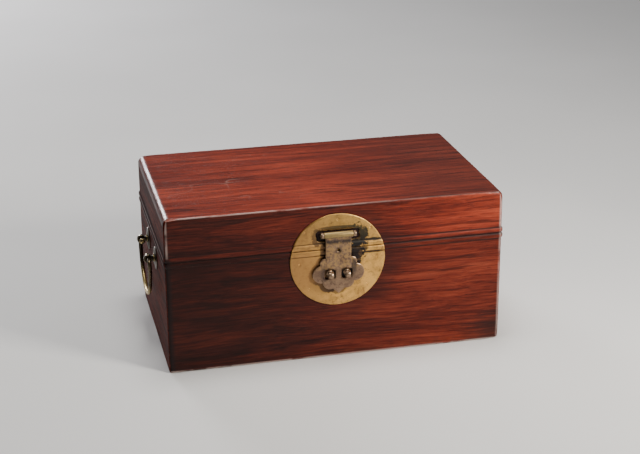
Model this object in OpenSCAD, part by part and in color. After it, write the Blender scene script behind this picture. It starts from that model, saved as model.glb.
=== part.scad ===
// Hinged hardwood money box with a round brass lock plate, a cloud-shaped hasp,
// two padlock eyelets and a swinging bail handle on each end.
// Millimetres. X runs along the front, the front faces -Y, +Z is up.
// The origin is the centre of the underside, which is the resting face.

/* [Box] */
// Width along the front, over the boards
box_w = 350; // [320:1:420]
// Depth from front to back, over the boards
box_d = 210; // [190:1:260]
// Height of the body, up to the seam
body_h = 120; // [112:1:150]
// Height of the lid above the seam
lid_h = 46; // [44:1:70]
// Thickness of the wall boards and of the top board
wall_t = 11; // [10:0.5:12]
// Thickness of the bottom board
floor_t = 9; // [7:0.5:10]
// Rounding of the upright corners
corner_r = 3; // [1.5:0.5:4]
// Rounding of the top edge at the two ends
end_edge_r = 7; // [4:0.5:8]
// Rounding of the top edge at the front and back
long_edge_r = 2.5; // [1.5:0.5:4]
// Bevel along the foot of the boards
foot_bevel = 1; // [0.5:0.1:2]

/* [Seam] */
// Height of each bead beside the seam
bead_h = 6; // [5:0.5:7]
// How far a bead stands out of the board
bead_out = 1.3; // [1:0.1:1.6]
// Height of the tongue round the mouth of the body
tongue_h = 3; // [2:0.5:4]
// Thickness of that tongue
tongue_t = 5; // [4:0.5:6]
// Room between the tongue and the lid's rabbet
tongue_gap = 0.4; // [0.3:0.1:0.8]

/* [Lock plate] */
// Radius of the round lock plate
plate_r = 49.3; // [44:0.1:50]
// How far its centre lies below the seam
plate_drop = 12.2; // [8:0.1:14]
// Thickness of the sheet brass
sheet_t = 1.2; // [0.9:0.1:1.4]
// Half width of the window for the hasp's roll
window_half_w = 24.5; // [22:0.5:28]

/* [Hasp] */
// Height of the hasp's turning axis above the seam
hasp_axis_up = 15.8; // [15:0.1:17]
// Outer radius of the hasp's roll
roll_r = 3.6; // [3.3:0.1:3.8]
// Half length of the roll
roll_half_w = 15; // [14.5:0.5:17]
// Half width of the strap
strap_half_w = 13.2; // [12:0.1:14]
// Thickness of the hasp
hasp_t = 1.8; // [1.5:0.1:2]
// Radius of the hasp's pin
hasp_pin_r = 1.3; // [1:0.1:1.5]

/* [Padlock eyelets] */
// Distance of each eyelet from the middle
eyelet_x = 8.8; // [8.5:0.1:9.2]
// How far the eyelets lie below the seam
eyelet_drop = 26.2; // [25.5:0.1:27]
// Radius of the hole for a padlock's bolt
eyelet_hole_r = 2.2; // [1.8:0.1:2.3]
// Outer radius of an eyelet
eyelet_r = 4; // [3.8:0.1:4.2]
// Length of an eyelet along its hole
eyelet_w = 5.5; // [4.5:0.1:6]

/* [Handles] */
// Height of the turning axis of the bails
bail_z = 97; // [88:0.5:98]
// Distance of each handle post from the middle of the end
post_y = 29; // [26:0.5:31]
// How far the bail hangs from the end board
stand_off = 8; // [7.5:0.5:11]
// Radius of the bail's rod
rod_r = 2.2; // [1.8:0.1:2.4]
// Half width of the bail, to the middle of the rod
bail_half_w = 41; // [39:0.5:41.5]
// Depth of the bail below its axis, to the middle of the rod
bail_drop = 47; // [47:0.5:56]
// Radius of the rosette under a post
rosette_r = 12; // [10:0.5:13]

/* [Hinges] */
// Distance of each hinge from the middle
hinge_x = 105; // [80:1:120]
// Radius of the round hinge plates
hinge_plate_r = 23; // [20:0.5:26]
// Radius of the hinge's knuckles
knuckle_r = 2.9; // [2.6:0.1:3]
// Radius of the hinge pin
hinge_pin_r = 1.4; // [1.1:0.1:1.6]
// Half length of the hinge barrel
barrel_half_w = 15; // [13:0.5:18]

/* [Hidden] */

$fn = 48;
cut = 1;            // how far a cutter runs past what it cuts
reach = 6;          // how far a mitre slice runs past the boards
hair = 0.05;        // room under sheet metal and round fixed shanks
edge_gap = 0.15;    // half the gap between the two halves of a plate
running = 0.08;     // room round a pin in a turning piece

half_w = box_w / 2;
half_d = box_d / 2;
box_h = body_h + lid_h;

// A bead is the cap of a circle over a chord of bead_h.
bead_r = (bead_h * bead_h / 4 + bead_out * bead_out) / (2 * bead_out);
bead_corner_r = corner_r + bead_out;
bead_root = 3;      // how deep a bead is let into its board

groove_in = 5;      // depth of the groove for the bottom board
groove_z = 4;       // height of that groove above the foot
groove_gap = 0.2;

plate_out = hair + sheet_t;
plate_front = bead_out + hair + sheet_t;
window_low = bead_h + 1.5;                  // above the seam
window_high = hasp_axis_up + roll_r + 1.8;

washer_t = 0.8;
washer_half = 6;
prong_t = 1.5;
prong_half = 9.5;
prong_taper = 3;    // length of a prong's point
shank = 3;          // side of a square shank
shank_hole = shank + 2 * hair;
shank_in = 0.5;     // how far a shank runs into its prongs
shank_back = 0.5;   // how far behind a bore a shank starts

strap_back = plate_front + 0.5;
hasp_axis_out = strap_back + hasp_t / 2 + 0.2;
staple_w = 3;
staple_x = roll_half_w + 0.2 + staple_w / 2;
staple_r = roll_r - 0.3;
hasp_pin_end = 0.6; // how far the pin stands out of its staples
nail_hole = [0, -0.5, 1.6];         // in the strap: across, above the seam, radius

// The cloud at the hasp's end. Heights are above the seam.
strap_low = -20;
cloud_lobes = [[14, -14.2, 5.2], [17.4, -26, 9.4], [8.8, -35.2, 7.4]]; // across, height, radius
cloud_core = [14, -34, -14];        // half width, lowest and highest edge
cloud_end = [0, -38, 7.2];          // the lobe in the middle
cloud_tip = [3.6, -44, -47.4];      // half width, height of its foot and of its point

eyelet_out = strap_back + hasp_t + 0.35 + eyelet_hole_r;
eyelet_z = body_h - eyelet_drop;
eyelet_foot_r = eyelet_r - 0.6;
eyelet_foot_h = 1.2;
slot_w = 11.5;
slot_h = 10;
slot_r = 2;

post_w = 4.5;
post_r = 4.8;
stem_r = 2.4;
stem_start = stand_off - rod_r - 0.6;
collar_r = 4.4;
rosette_t = 2;
rosette_rim = 2.5;
rosette_top_r = 6;
collar_out = rosette_t + 1;
bend_r = 5;
bail_end = post_y - post_w / 2 - 4; // where the rod ends, inside the posts
bail_knob_r = rod_r + 0.9;

barrel_out = bead_out + knuckle_r + 0.4;
inner_knuckle_half = 6;
knuckle_gap = 0.2;
knuckle_clear = 0.4;
web_out = bead_out + 0.25;          // the web between a knuckle and its leaf
web_t = 1.6;
web_from = 0.3;
web_to = 3.6;
hinge_pin_out = 0.5;                // how far the pin stands out of the barrel
hinge_head_gap = 0.15;
hinge_head_half = 0.7;
hinge_head_r = hinge_pin_r + 0.7;

plate_pins_up = [[-34, 20], [34, 20], [0, 31]]; // across, above the seam
plate_pins_low = [[-40, -14], [40, -14], [-30, -42], [30, -42]];
pin_r = 0.9;
pin_in = 7;         // depth of the holes for pins and nails
pin_short = 0.5;    // how much shorter the pins and nails are
pin_proud = 0.1;
hinge_nails = [[-14, 12.5], [14, 12.5], [0, 18]];
nail_r = 0.9;
nail_head_r = 1.9;
nail_head_slope = 0.8;
nail_head_t = 0.9;
nail_neck = 0.3;    // how far the shank runs into its head

wood_colour = "#6b2a17";
top_colour = "#7a3119";
base_colour = "#5d2817";
plate_colour = "#b08d3c";
plate_pin_colour = "#9a7b35";
hasp_colour = "#8d7350";
hasp_pin_colour = "#7f6a45";
staple_colour = "#a08140";
eyelet_colour = "#b89a58";
washer_colour = "#8a7140";
post_colour = "#6f5a34";
rosette_colour = "#5a4a30";
post_washer_colour = "#5f4c2c";
bail_colour = "#7d6535";
leaf_colour = "#a8873e";
hinge_pin_colour = "#8a7138";

// ---------------------------------------------------------------- helpers

// A cylinder along X, centred on x.
module bar_x(r, half) {
  rotate([0, 90, 0]) cylinder(h = 2 * half, r = r, center = true);
}

// A cylinder along Y, from y0 to y1.
module bar_y(r, y0, y1) {
  translate([0, y1, 0]) rotate([90, 0, 0]) cylinder(h = y1 - y0, r = r);
}

// A flat shape in the plane of X and Z, made solid from y0 to y1.
module upright(y0, y1) {
  translate([0, y1, 0]) rotate([90, 0, 0]) linear_extrude(height = y1 - y0) children();
}

// A flat shape in the plane of Y and Z, made solid from -half to half along X.
module lengthwise(half) {
  rotate([90, 0, 90]) translate([0, 0, -half]) linear_extrude(height = 2 * half) children();
}

// A box from one corner to the other.
module block(low, high) {
  translate(low) cube(high - low);
}

// What lies outside the rounded upright corners of a rectangle.
module outside_corners(hw, hd, r, z0, z1) {
  for (sx = [-1, 1]) {
    for (sy = [-1, 1]) {
      translate([sx * (hw - r), sy * (hd - r), z0])
        difference() {
          translate([sx > 0 ? 0 : -r - cut, sy > 0 ? 0 : -r - cut, 0])
            cube([r + cut, r + cut, z1 - z0]);
          translate([0, 0, -cut]) cylinder(h = z1 - z0 + 2 * cut, r = r);
        }
    }
  }
}

// The share of the ring of boards that belongs to one board, cut at 45 degrees.
module slice_long(s) {
  a = [half_w + reach, half_d + reach];
  b = [half_w - wall_t - reach, half_d - wall_t - reach];
  linear_extrude(height = box_h + reach)
    polygon([[-a.x, s * a.y], [a.x, s * a.y], [b.x, s * b.y], [-b.x, s * b.y]]);
}

module slice_end(s) {
  a = [half_w + reach, half_d + reach];
  b = [half_w - wall_t - reach, half_d - wall_t - reach];
  linear_extrude(height = box_h + reach)
    polygon([[s * a.x, -a.y], [s * a.x, a.y], [s * b.x, b.y], [s * b.x, -b.y]]);
}

// ---------------------------------------------------------------- body boards

// The ring that the beads of one height lie in, z being the middle of the beads.
module bead_band(z) {
  low = z - bead_h / 2;
  high = z + bead_h / 2;
  difference() {
    block(
      [-half_w - bead_out, -half_d - bead_out, low], [half_w + bead_out, half_d + bead_out, high]
    );
    block(
      [-half_w + bead_root, -half_d + bead_root, low - cut],
      [half_w - bead_root, half_d - bead_root, high + cut]
    );
  }
}

module bead_long(s, z) {
  intersection() {
    translate([0, s * (half_d + bead_out - bead_r), z]) bar_x(bead_r, half_w + bead_out);
    slice_long(s);
    bead_band(z);
  }
}

module bead_end(s, z) {
  intersection() {
    translate([s * (half_w + bead_out - bead_r), 0, z])
      bar_y(bead_r, -half_d - bead_out, half_d + bead_out);
    slice_end(s);
    bead_band(z);
  }
}

module foot_bevels() {
  for (s = [-1, 1]) {
    lengthwise(half_w + cut)
      polygon([
        [s * (half_d + cut), -cut], [s * (half_d + cut), foot_bevel + cut],
        [s * (half_d - foot_bevel - cut), -cut]
      ]);
    upright(-half_d - cut, half_d + cut)
      polygon([
        [s * (half_w + cut), -cut], [s * (half_w + cut), foot_bevel + cut],
        [s * (half_w - foot_bevel - cut), -cut]
      ]);
  }
}

// The four body boards in one ring, without their beads.
module body_ring() {
  difference() {
    union() {
      block([-half_w, -half_d, 0], [half_w, half_d, body_h]);
      block(
        [-half_w + wall_t - tongue_t, -half_d + wall_t - tongue_t, body_h - cut],
        [half_w - wall_t + tongue_t, half_d - wall_t + tongue_t, body_h + tongue_h]
      );
    }
    block(
      [-half_w + wall_t, -half_d + wall_t, -cut],
      [half_w - wall_t, half_d - wall_t, body_h + tongue_h + cut]
    );
    block(
      [-half_w + wall_t - groove_in, -half_d + wall_t - groove_in, groove_z],
      [half_w - wall_t + groove_in, half_d - wall_t + groove_in, floor_t]
    );
    outside_corners(half_w, half_d, corner_r, -cut, body_h + cut);
    foot_bevels();
  }
}

module body_long(s) {
  difference() {
    union() {
      intersection() {
        body_ring();
        slice_long(s);
      }
      bead_long(s, body_h - bead_h / 2);
    }
    outside_corners(half_w + bead_out, half_d + bead_out, bead_corner_r, body_h - bead_h, body_h);
  }
}

module body_end(s) {
  difference() {
    union() {
      intersection() {
        body_ring();
        slice_end(s);
      }
      bead_end(s, body_h - bead_h / 2);
    }
    outside_corners(half_w + bead_out, half_d + bead_out, bead_corner_r, body_h - bead_h, body_h);
    for (y = [-post_y, post_y]) {
      block(
        [min(s * (half_w + cut), s * (half_w - wall_t - cut)), y - shank_hole / 2,
         bail_z - shank_hole / 2],
        [max(s * (half_w + cut), s * (half_w - wall_t - cut)), y + shank_hole / 2,
         bail_z + shank_hole / 2]
      );
    }
  }
}

module body_front() {
  color(wood_colour)
    difference() {
      body_long(-1);
      for (x = [-eyelet_x, eyelet_x]) {
        translate([x, 0, eyelet_z]) shank_mortise();
      }
      for (p = plate_pins_low) {
        translate([p.x, 0, body_h + p.y]) bar_y(pin_r, -half_d - cut, -half_d + pin_in);
      }
    }
}

module body_back() {
  color(wood_colour)
    difference() {
      body_long(1);
      hinge_nail_shanks(-1, cut);
    }
}

module body_left() {
  color(wood_colour) body_end(-1);
}

module body_right() {
  color(wood_colour) body_end(1);
}

module body_bottom() {
  inner = [half_w - wall_t - groove_gap, half_d - wall_t - groove_gap];
  grip = groove_in;
  color(base_colour)
    union() {
      block([-inner.x, -inner.y, 0], [inner.x, inner.y, floor_t - groove_gap]);
      block(
        [-inner.x - grip, -inner.y - grip, groove_z + groove_gap],
        [inner.x + grip, inner.y + grip, floor_t - groove_gap]
      );
    }
}

// ---------------------------------------------------------------- lid boards

// What lies outside the rounded top edges of the lid.
module outside_top_edges() {
  for (s = [-1, 1]) {
    translate([s * (half_w - end_edge_r), 0, box_h - end_edge_r])
      upright(-half_d - cut, half_d + cut)
        difference() {
          translate([s > 0 ? 0 : -end_edge_r - cut, 0]) square(end_edge_r + cut);
          circle(r = end_edge_r);
        }
    translate([0, s * (half_d - long_edge_r), box_h - long_edge_r])
      lengthwise(half_w + cut)
        difference() {
          translate([s > 0 ? 0 : -long_edge_r - cut, 0]) square(long_edge_r + cut);
          circle(r = long_edge_r);
        }
  }
}

module lid_shell() {
  rabbet = wall_t - tongue_t - tongue_gap;
  difference() {
    block([-half_w, -half_d, body_h], [half_w, half_d, box_h]);
    block(
      [-half_w + wall_t, -half_d + wall_t, body_h - cut],
      [half_w - wall_t, half_d - wall_t, box_h - wall_t]
    );
    block(
      [-half_w + rabbet, -half_d + rabbet, body_h - cut],
      [half_w - rabbet, half_d - rabbet, body_h + tongue_h + tongue_gap]
    );
    outside_corners(half_w, half_d, corner_r, body_h - cut, box_h + cut);
    outside_top_edges();
  }
}

// Below the mitre that runs down at 45 degrees from a top edge.
module under_top_long(s) {
  lengthwise(half_w + 2 * reach)
    polygon([
      [s * (half_d + reach), box_h + reach], [s * (half_d - wall_t - reach), box_h - wall_t - reach],
      [s * (half_d - wall_t - reach), body_h - cut], [s * (half_d + reach), body_h - cut]
    ]);
}

module under_top_end(s) {
  upright(-half_d - 2 * reach, half_d + 2 * reach)
    polygon([
      [s * (half_w + reach), box_h + reach], [s * (half_w - wall_t - reach), box_h - wall_t - reach],
      [s * (half_w - wall_t - reach), body_h - cut], [s * (half_w + reach), body_h - cut]
    ]);
}

module lid_long(s) {
  difference() {
    union() {
      intersection() {
        lid_shell();
        slice_long(s);
        under_top_long(s);
      }
      bead_long(s, body_h + bead_h / 2);
    }
    outside_corners(half_w + bead_out, half_d + bead_out, bead_corner_r, body_h, body_h + bead_h);
  }
}

module lid_end(s) {
  color(wood_colour)
    difference() {
      union() {
        intersection() {
          lid_shell();
          slice_end(s);
          under_top_end(s);
        }
        bead_end(s, body_h + bead_h / 2);
      }
      outside_corners(half_w + bead_out, half_d + bead_out, bead_corner_r, body_h, body_h + bead_h);
    }
}

module lid_front() {
  color(wood_colour)
    difference() {
      lid_long(-1);
      for (x = [-staple_x, staple_x]) {
        translate([x, 0, body_h + hasp_axis_up]) shank_mortise();
      }
      for (p = plate_pins_up) {
        translate([p.x, 0, body_h + p.y]) bar_y(pin_r, -half_d - cut, -half_d + pin_in);
      }
    }
}

module lid_back() {
  color(wood_colour)
    difference() {
      lid_long(1);
      hinge_nail_shanks(1, cut);
    }
}

module lid_left() {
  lid_end(-1);
}

module lid_right() {
  lid_end(1);
}

// The top board meets all four walls on a mitre.
module lid_top() {
  low = box_h - wall_t;
  color(top_colour)
    intersection() {
      difference() {
        block([-half_w, -half_d, low], [half_w, half_d, box_h]);
        outside_corners(half_w, half_d, corner_r, low - cut, box_h + cut);
        outside_top_edges();
      }
      lengthwise(half_w + cut)
        polygon([
          [-half_d + wall_t, low], [half_d - wall_t, low],
          [half_d + cut, box_h + cut], [-half_d - cut, box_h + cut]
        ]);
      upright(-half_d - cut, half_d + cut)
        polygon([
          [-half_w + wall_t, low], [half_w - wall_t, low],
          [half_w + cut, box_h + cut], [-half_w - cut, box_h + cut]
        ]);
    }
}

// ---------------------------------------------------------------- sheet brass

// Section of sheet metal laid on a board and pressed over its bead.
// The first axis points out of the board, the second up from the seam; side is 1 above it.
module formed_section(side, length) {
  difference() {
    union() {
      translate([hair, side > 0 ? edge_gap : -length]) square([sheet_t, length - edge_gap]);
      intersection() {
        translate([bead_out - bead_r, side * bead_h / 2])
          circle(r = bead_r + hair + sheet_t);
        translate([hair, side > 0 ? edge_gap : -2 * bead_h])
          square([2 * bead_h, 2 * bead_h - edge_gap]);
      }
    }
    translate([bead_out - bead_r, side * bead_h / 2]) circle(r = bead_r + hair);
  }
}

// Half of a round plate on the front face, above the seam or below it.
module round_half_plate(side, r, centre_up) {
  intersection() {
    translate([0, -half_d, body_h])
      mirror([0, 1, 0]) lengthwise(r + cut) formed_section(side, r + side * centre_up + cut);
    translate([0, 0, body_h + centre_up])
      bar_y(r, -half_d - 2 * bead_h, -half_d + cut);
  }
}

module plate_pin_holes(pins) {
  for (p = pins) {
    translate([p.x, 0, body_h + p.y]) bar_y(pin_r, -half_d - 2 * bead_h, -half_d + cut);
  }
}

module lock_plate_lower() {
  color(plate_colour)
    difference() {
      round_half_plate(-1, plate_r, -plate_drop);
      for (x = [-eyelet_x, eyelet_x]) {
        translate([x, 0, eyelet_z]) shank_mortise();
      }
      plate_pin_holes(plate_pins_low);
    }
}

module lock_plate_upper() {
  color(plate_colour)
    difference() {
      round_half_plate(1, plate_r, -plate_drop);
      block(
        [-window_half_w, -half_d - 2 * bead_h, body_h + window_low],
        [window_half_w, -half_d + cut, body_h + window_high]
      );
      plate_pin_holes(plate_pins_up);
    }
}

// Small pins driven through the plate into the board.
module plate_pins(pins) {
  color(plate_pin_colour)
    for (p = pins) {
      translate([p.x, 0, body_h + p.y])
        bar_y(pin_r - hair / 2, -half_d - plate_out - pin_proud, -half_d + pin_in - pin_short);
    }
}

module lower_plate_pins() {
  plate_pins(plate_pins_low);
}

module upper_plate_pins() {
  plate_pins(plate_pins_up);
}

// ---------------------------------------------------------------- clinched shanks

// The square hole that a shank passes through, along Y in the front wall.
module shank_mortise() {
  block(
    [-shank_hole / 2, -half_d - 2 * bead_h, -shank_hole / 2],
    [shank_hole / 2, -half_d + wall_t + cut, shank_hole / 2]
  );
}

// A shank along +Y from `from` before the board's face, spread out inside the board.
module clinched_shank(from) {
  inside = wall_t + washer_t;
  block([-shank / 2, -from, -shank / 2], [shank / 2, inside + shank_in, shank / 2]);
  upright(inside, inside + prong_t)
    polygon([
      [-shank / 2, -prong_half + prong_taper], [0, -prong_half], [shank / 2, -prong_half + prong_taper],
      [shank / 2, prong_half - prong_taper], [0, prong_half], [-shank / 2, prong_half - prong_taper]
    ]);
}

// The washer that the spread prongs lie on.
module washer() {
  upright(wall_t, wall_t + washer_t)
    difference() {
      square(2 * washer_half, center = true);
      square(shank_hole, center = true);
    }
}

// ---------------------------------------------------------------- hasp

// A circle given as [across, height, radius].
module disc(d) {
  translate([d[0], d[1]]) circle(r = d[2]);
}

module hasp_outline() {
  union() {
    translate([-strap_half_w, strap_low])
      square([2 * strap_half_w, hasp_axis_up - strap_low]);
    for (lobe = cloud_lobes) {
      disc(lobe);
      mirror([1, 0, 0]) disc(lobe);
    }
    translate([-cloud_core[0], cloud_core[1]])
      square([2 * cloud_core[0], cloud_core[2] - cloud_core[1]]);
    disc(cloud_end);
    polygon([[-cloud_tip[0], cloud_tip[1]], [cloud_tip[0], cloud_tip[1]], [0, cloud_tip[2]]]);
  }
}

module hasp_slots() {
  for (s = [-1, 1]) {
    translate([s * eyelet_x, -eyelet_drop]) {
      square([slot_w - 2 * slot_r, slot_h], center = true);
      square([slot_w, slot_h - 2 * slot_r], center = true);
      for (sx = [-1, 1]) {
        for (sy = [-1, 1]) {
          translate([sx * (slot_w / 2 - slot_r), sy * (slot_h / 2 - slot_r)]) circle(r = slot_r);
        }
      }
    }
  }
}

module hasp() {
  color(hasp_colour)
    translate([0, -half_d, body_h])
      difference() {
        union() {
          upright(-strap_back - hasp_t, -strap_back)
            difference() {
              hasp_outline();
              hasp_slots();
              disc(nail_hole);
            }
          translate([0, -hasp_axis_out, hasp_axis_up]) bar_x(roll_r, roll_half_w);
        }
        translate([0, -hasp_axis_out, hasp_axis_up]) bar_x(hasp_pin_r + running, roll_half_w + cut);
      }
}

module hasp_pin() {
  color(hasp_pin_colour)
    translate([0, -half_d - hasp_axis_out, body_h + hasp_axis_up])
      bar_x(hasp_pin_r, staple_x + staple_w / 2 + hasp_pin_end);
}

// A looped staple that holds one end of the hasp's pin.
module hasp_staple(s) {
  color(staple_colour)
    translate([s * staple_x, -half_d, body_h + hasp_axis_up])
      difference() {
        union() {
          translate([0, -hasp_axis_out, 0]) bar_x(staple_r, staple_w / 2);
          clinched_shank(hasp_axis_out - hasp_pin_r - shank_back);
        }
        translate([0, -hasp_axis_out, 0]) bar_x(hasp_pin_r + hair, staple_w);
      }
}

module hasp_staple_left() {
  hasp_staple(-1);
}

module hasp_staple_right() {
  hasp_staple(1);
}

module hasp_staple_washers() {
  color(washer_colour)
    for (s = [-1, 1]) {
      translate([s * staple_x, -half_d, body_h + hasp_axis_up]) washer();
    }
}

// ---------------------------------------------------------------- padlock eyelets

module padlock_eyelet(s) {
  color(eyelet_colour)
    translate([s * eyelet_x, -half_d, eyelet_z])
      difference() {
        union() {
          translate([0, -eyelet_out, 0]) bar_x(eyelet_r, eyelet_w / 2);
          bar_y(eyelet_foot_r, -plate_out - eyelet_foot_h, -plate_out);
          clinched_shank(eyelet_out - eyelet_hole_r - shank_back);
        }
        translate([0, -eyelet_out, 0]) bar_x(eyelet_hole_r, eyelet_w);
      }
}

module padlock_eyelet_left() {
  padlock_eyelet(-1);
}

module padlock_eyelet_right() {
  padlock_eyelet(1);
}

module padlock_eyelet_washers() {
  color(washer_colour)
    for (s = [-1, 1]) {
      translate([s * eyelet_x, -half_d, eyelet_z]) washer();
    }
}

// ---------------------------------------------------------------- end handles

// Places a piece drawn on the front face at the origin onto the left end (s = -1)
// or the right end (s = 1), y along the end.
module on_end(s, y, z) {
  translate([s * half_w, y, z]) rotate([0, 0, s * 90]) children();
}

// An eye post, drawn standing out along -Y, with its eye across X.
module post() {
  color(post_colour)
    difference() {
      union() {
        translate([0, -stand_off, 0]) bar_x(post_r, post_w / 2);
        bar_y(stem_r, -stem_start, -rosette_t);
        bar_y(collar_r, -collar_out, -rosette_t);
        clinched_shank(rosette_t);
      }
      translate([0, -stand_off, 0]) bar_x(rod_r + running, post_w);
    }
}

module rosette() {
  color(rosette_colour)
    difference() {
      union() {
        bar_y(rosette_r, -rosette_t / 2, 0);
        translate([0, -rosette_t / 2, 0]) rotate([90, 0, 0])
          cylinder(h = rosette_t / 2, r1 = rosette_r - rosette_rim, r2 = rosette_top_r);
      }
      block(
        [-shank_hole / 2, -rosette_t - cut, -shank_hole / 2],
        [shank_hole / 2, cut, shank_hole / 2]
      );
    }
}

module left_post_front() {
  on_end(-1, -post_y, bail_z) post();
}

module left_post_rear() {
  on_end(-1, post_y, bail_z) post();
}

module right_post_front() {
  on_end(1, -post_y, bail_z) post();
}

module right_post_rear() {
  on_end(1, post_y, bail_z) post();
}

module left_rosette_front() {
  on_end(-1, -post_y, bail_z) rosette();
}

module left_rosette_rear() {
  on_end(-1, post_y, bail_z) rosette();
}

module right_rosette_front() {
  on_end(1, -post_y, bail_z) rosette();
}

module right_rosette_rear() {
  on_end(1, post_y, bail_z) rosette();
}

module handle_post_washers() {
  color(post_washer_colour)
    for (s = [-1, 1]) {
      for (y = [-post_y, post_y]) {
        on_end(s, y, bail_z) washer();
      }
    }
}

// A quarter of a ring in the plane of X and Z, from the angle `from` anticlockwise.
module bend(r, from, turn) {
  rotate([90, 0, 0])
    rotate([0, 0, from])
      rotate_extrude(angle = turn)
        translate([r, 0]) circle(r = rod_r);
}

// The bail, drawn in the plane of X and Z round its axis, hanging down.
module bail() {
  side_top = -bend_r;
  side_low = -bail_drop + bail_half_w;
  color(bail_colour)
    union() {
      for (s = [-1, 1]) {
        translate([s * bail_end, 0, 0]) sphere(r = bail_knob_r);
        translate([s * (bail_end + bail_half_w - bend_r) / 2, 0, 0])
          bar_x(rod_r, (bail_half_w - bend_r - bail_end) / 2);
        translate([s * (bail_half_w - bend_r), 0, -bend_r])
          bend(bend_r, s > 0 ? 0 : 90, 90);
        translate([s * bail_half_w, 0, side_low]) cylinder(h = side_top - side_low, r = rod_r);
      }
      translate([0, 0, side_low]) bend(bail_half_w, 180, 180);
    }
}

module left_bail() {
  on_end(-1, 0, bail_z) translate([0, -stand_off, 0]) bail();
}

module right_bail() {
  on_end(1, 0, bail_z) translate([0, -stand_off, 0]) bail();
}

// ---------------------------------------------------------------- hinges

// Places a piece drawn for the front face on the back, at one hinge.
module at_hinge(s) {
  translate([s * hinge_x, 0, 0]) mirror([0, 1, 0]) children();
}

// A strip from one x to another in which the knuckles of a leaf lie.
module knuckle_strip(from, to) {
  translate([(from + to) / 2, -half_d, body_h]) children();
}

// Section of a knuckle with the web that joins it to its leaf.
module knuckle_section(side) {
  translate([barrel_out, 0]) circle(r = knuckle_r);
  translate([web_out, side > 0 ? web_from : -web_to]) square([web_t, web_to - web_from]);
}

module knuckle(side, from, to) {
  knuckle_strip(from, to)
    mirror([0, 1, 0]) lengthwise((to - from) / 2) knuckle_section(side);
}

// Room in a leaf for the knuckles of the other one.
module knuckle_room(from, to) {
  translate([(from + to) / 2, -half_d - barrel_out, body_h])
    bar_x(knuckle_r + knuckle_clear, (to - from) / 2);
}

module leaf_nail_holes(side) {
  for (n = hinge_nails) {
    translate([n.x, 0, body_h + side * n.y]) bar_y(nail_r, -half_d - 2 * bead_h, -half_d + cut);
  }
}

module barrel_hole() {
  translate([0, -half_d - barrel_out, body_h]) bar_x(hinge_pin_r + hair, barrel_half_w + cut);
}

module lower_leaf() {
  inner = inner_knuckle_half + knuckle_gap;
  color(leaf_colour)
    difference() {
      union() {
        difference() {
          round_half_plate(-1, hinge_plate_r, 0);
          knuckle_room(-inner, inner);
          leaf_nail_holes(-1);
        }
        knuckle(-1, -barrel_half_w, -inner);
        knuckle(-1, inner, barrel_half_w);
      }
      barrel_hole();
    }
}

module upper_leaf() {
  inner = inner_knuckle_half;
  outer = barrel_half_w + knuckle_gap;
  color(leaf_colour)
    difference() {
      union() {
        difference() {
          round_half_plate(1, hinge_plate_r, 0);
          knuckle_room(-outer, -inner);
          knuckle_room(inner, outer);
          leaf_nail_holes(1);
        }
        knuckle(1, -inner, inner);
      }
      translate([0, -half_d - barrel_out, body_h]) bar_x(hinge_pin_r + running, barrel_half_w);
    }
}

module hinge_pin() {
  color(hinge_pin_colour)
    translate([0, -half_d - barrel_out, body_h])
      union() {
        bar_x(hinge_pin_r, barrel_half_w + hinge_pin_out);
        for (s = [-1, 1]) {
          translate([s * (barrel_half_w + hinge_head_gap + hinge_head_half), 0, 0])
            bar_x(hinge_head_r, hinge_head_half);
        }
      }
}

module hinge_left_lower_leaf() {
  at_hinge(-1) lower_leaf();
}

module hinge_left_upper_leaf() {
  at_hinge(-1) upper_leaf();
}

module hinge_left_pin() {
  at_hinge(-1) hinge_pin();
}

module hinge_right_lower_leaf() {
  at_hinge(1) lower_leaf();
}

module hinge_right_upper_leaf() {
  at_hinge(1) upper_leaf();
}

module hinge_right_pin() {
  at_hinge(1) hinge_pin();
}

// The shanks of the hinge nails in one row of leaves; `out` is how far they stand out.
module hinge_nail_shanks(side, out) {
  for (s = [-1, 1]) {
    at_hinge(s)
      for (n = hinge_nails) {
        translate([n.x, 0, body_h + side * n.y])
          bar_y(nail_r, -half_d - out, -half_d + pin_in);
      }
  }
}

// Round-headed nails, with a flat-ended shank a little thinner than its hole.
module hinge_nail_row(side) {
  color(leaf_colour)
    for (s = [-1, 1]) {
      at_hinge(s)
        for (n = hinge_nails) {
          translate([n.x, -half_d, body_h + side * n.y]) {
            bar_y(nail_r - hair / 2, -plate_out - nail_neck, pin_in - pin_short);
            translate([0, -plate_out, 0]) rotate([90, 0, 0])
              cylinder(h = nail_head_t, r1 = nail_head_r, r2 = nail_head_r - nail_head_slope);
          }
        }
    }
}

module body_hinge_nails() {
  hinge_nail_row(-1);
}

module lid_hinge_nails() {
  hinge_nail_row(1);
}

// ---------------------------------------------------------------- nodes

body_front();
body_back();
body_left();
body_right();
body_bottom();
lid_front();
lid_back();
lid_left();
lid_right();
lid_top();
lock_plate_lower();
lock_plate_upper();
lower_plate_pins();
upper_plate_pins();
hasp();
hasp_pin();
hasp_staple_left();
hasp_staple_right();
hasp_staple_washers();
padlock_eyelet_left();
padlock_eyelet_right();
padlock_eyelet_washers();
left_bail();
left_post_front();
left_post_rear();
left_rosette_front();
left_rosette_rear();
right_bail();
right_post_front();
right_post_rear();
right_rosette_front();
right_rosette_rear();
handle_post_washers();
hinge_left_lower_leaf();
hinge_left_upper_leaf();
hinge_left_pin();
hinge_right_lower_leaf();
hinge_right_upper_leaf();
hinge_right_pin();
body_hinge_nails();
lid_hinge_nails();
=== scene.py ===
"""Looks of the hinged rosewood money box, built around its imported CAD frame."""

import math

import bmesh
import bpy
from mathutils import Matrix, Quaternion, Vector, noise
from mathutils.geometry import delaunay_2d_cdt


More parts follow.
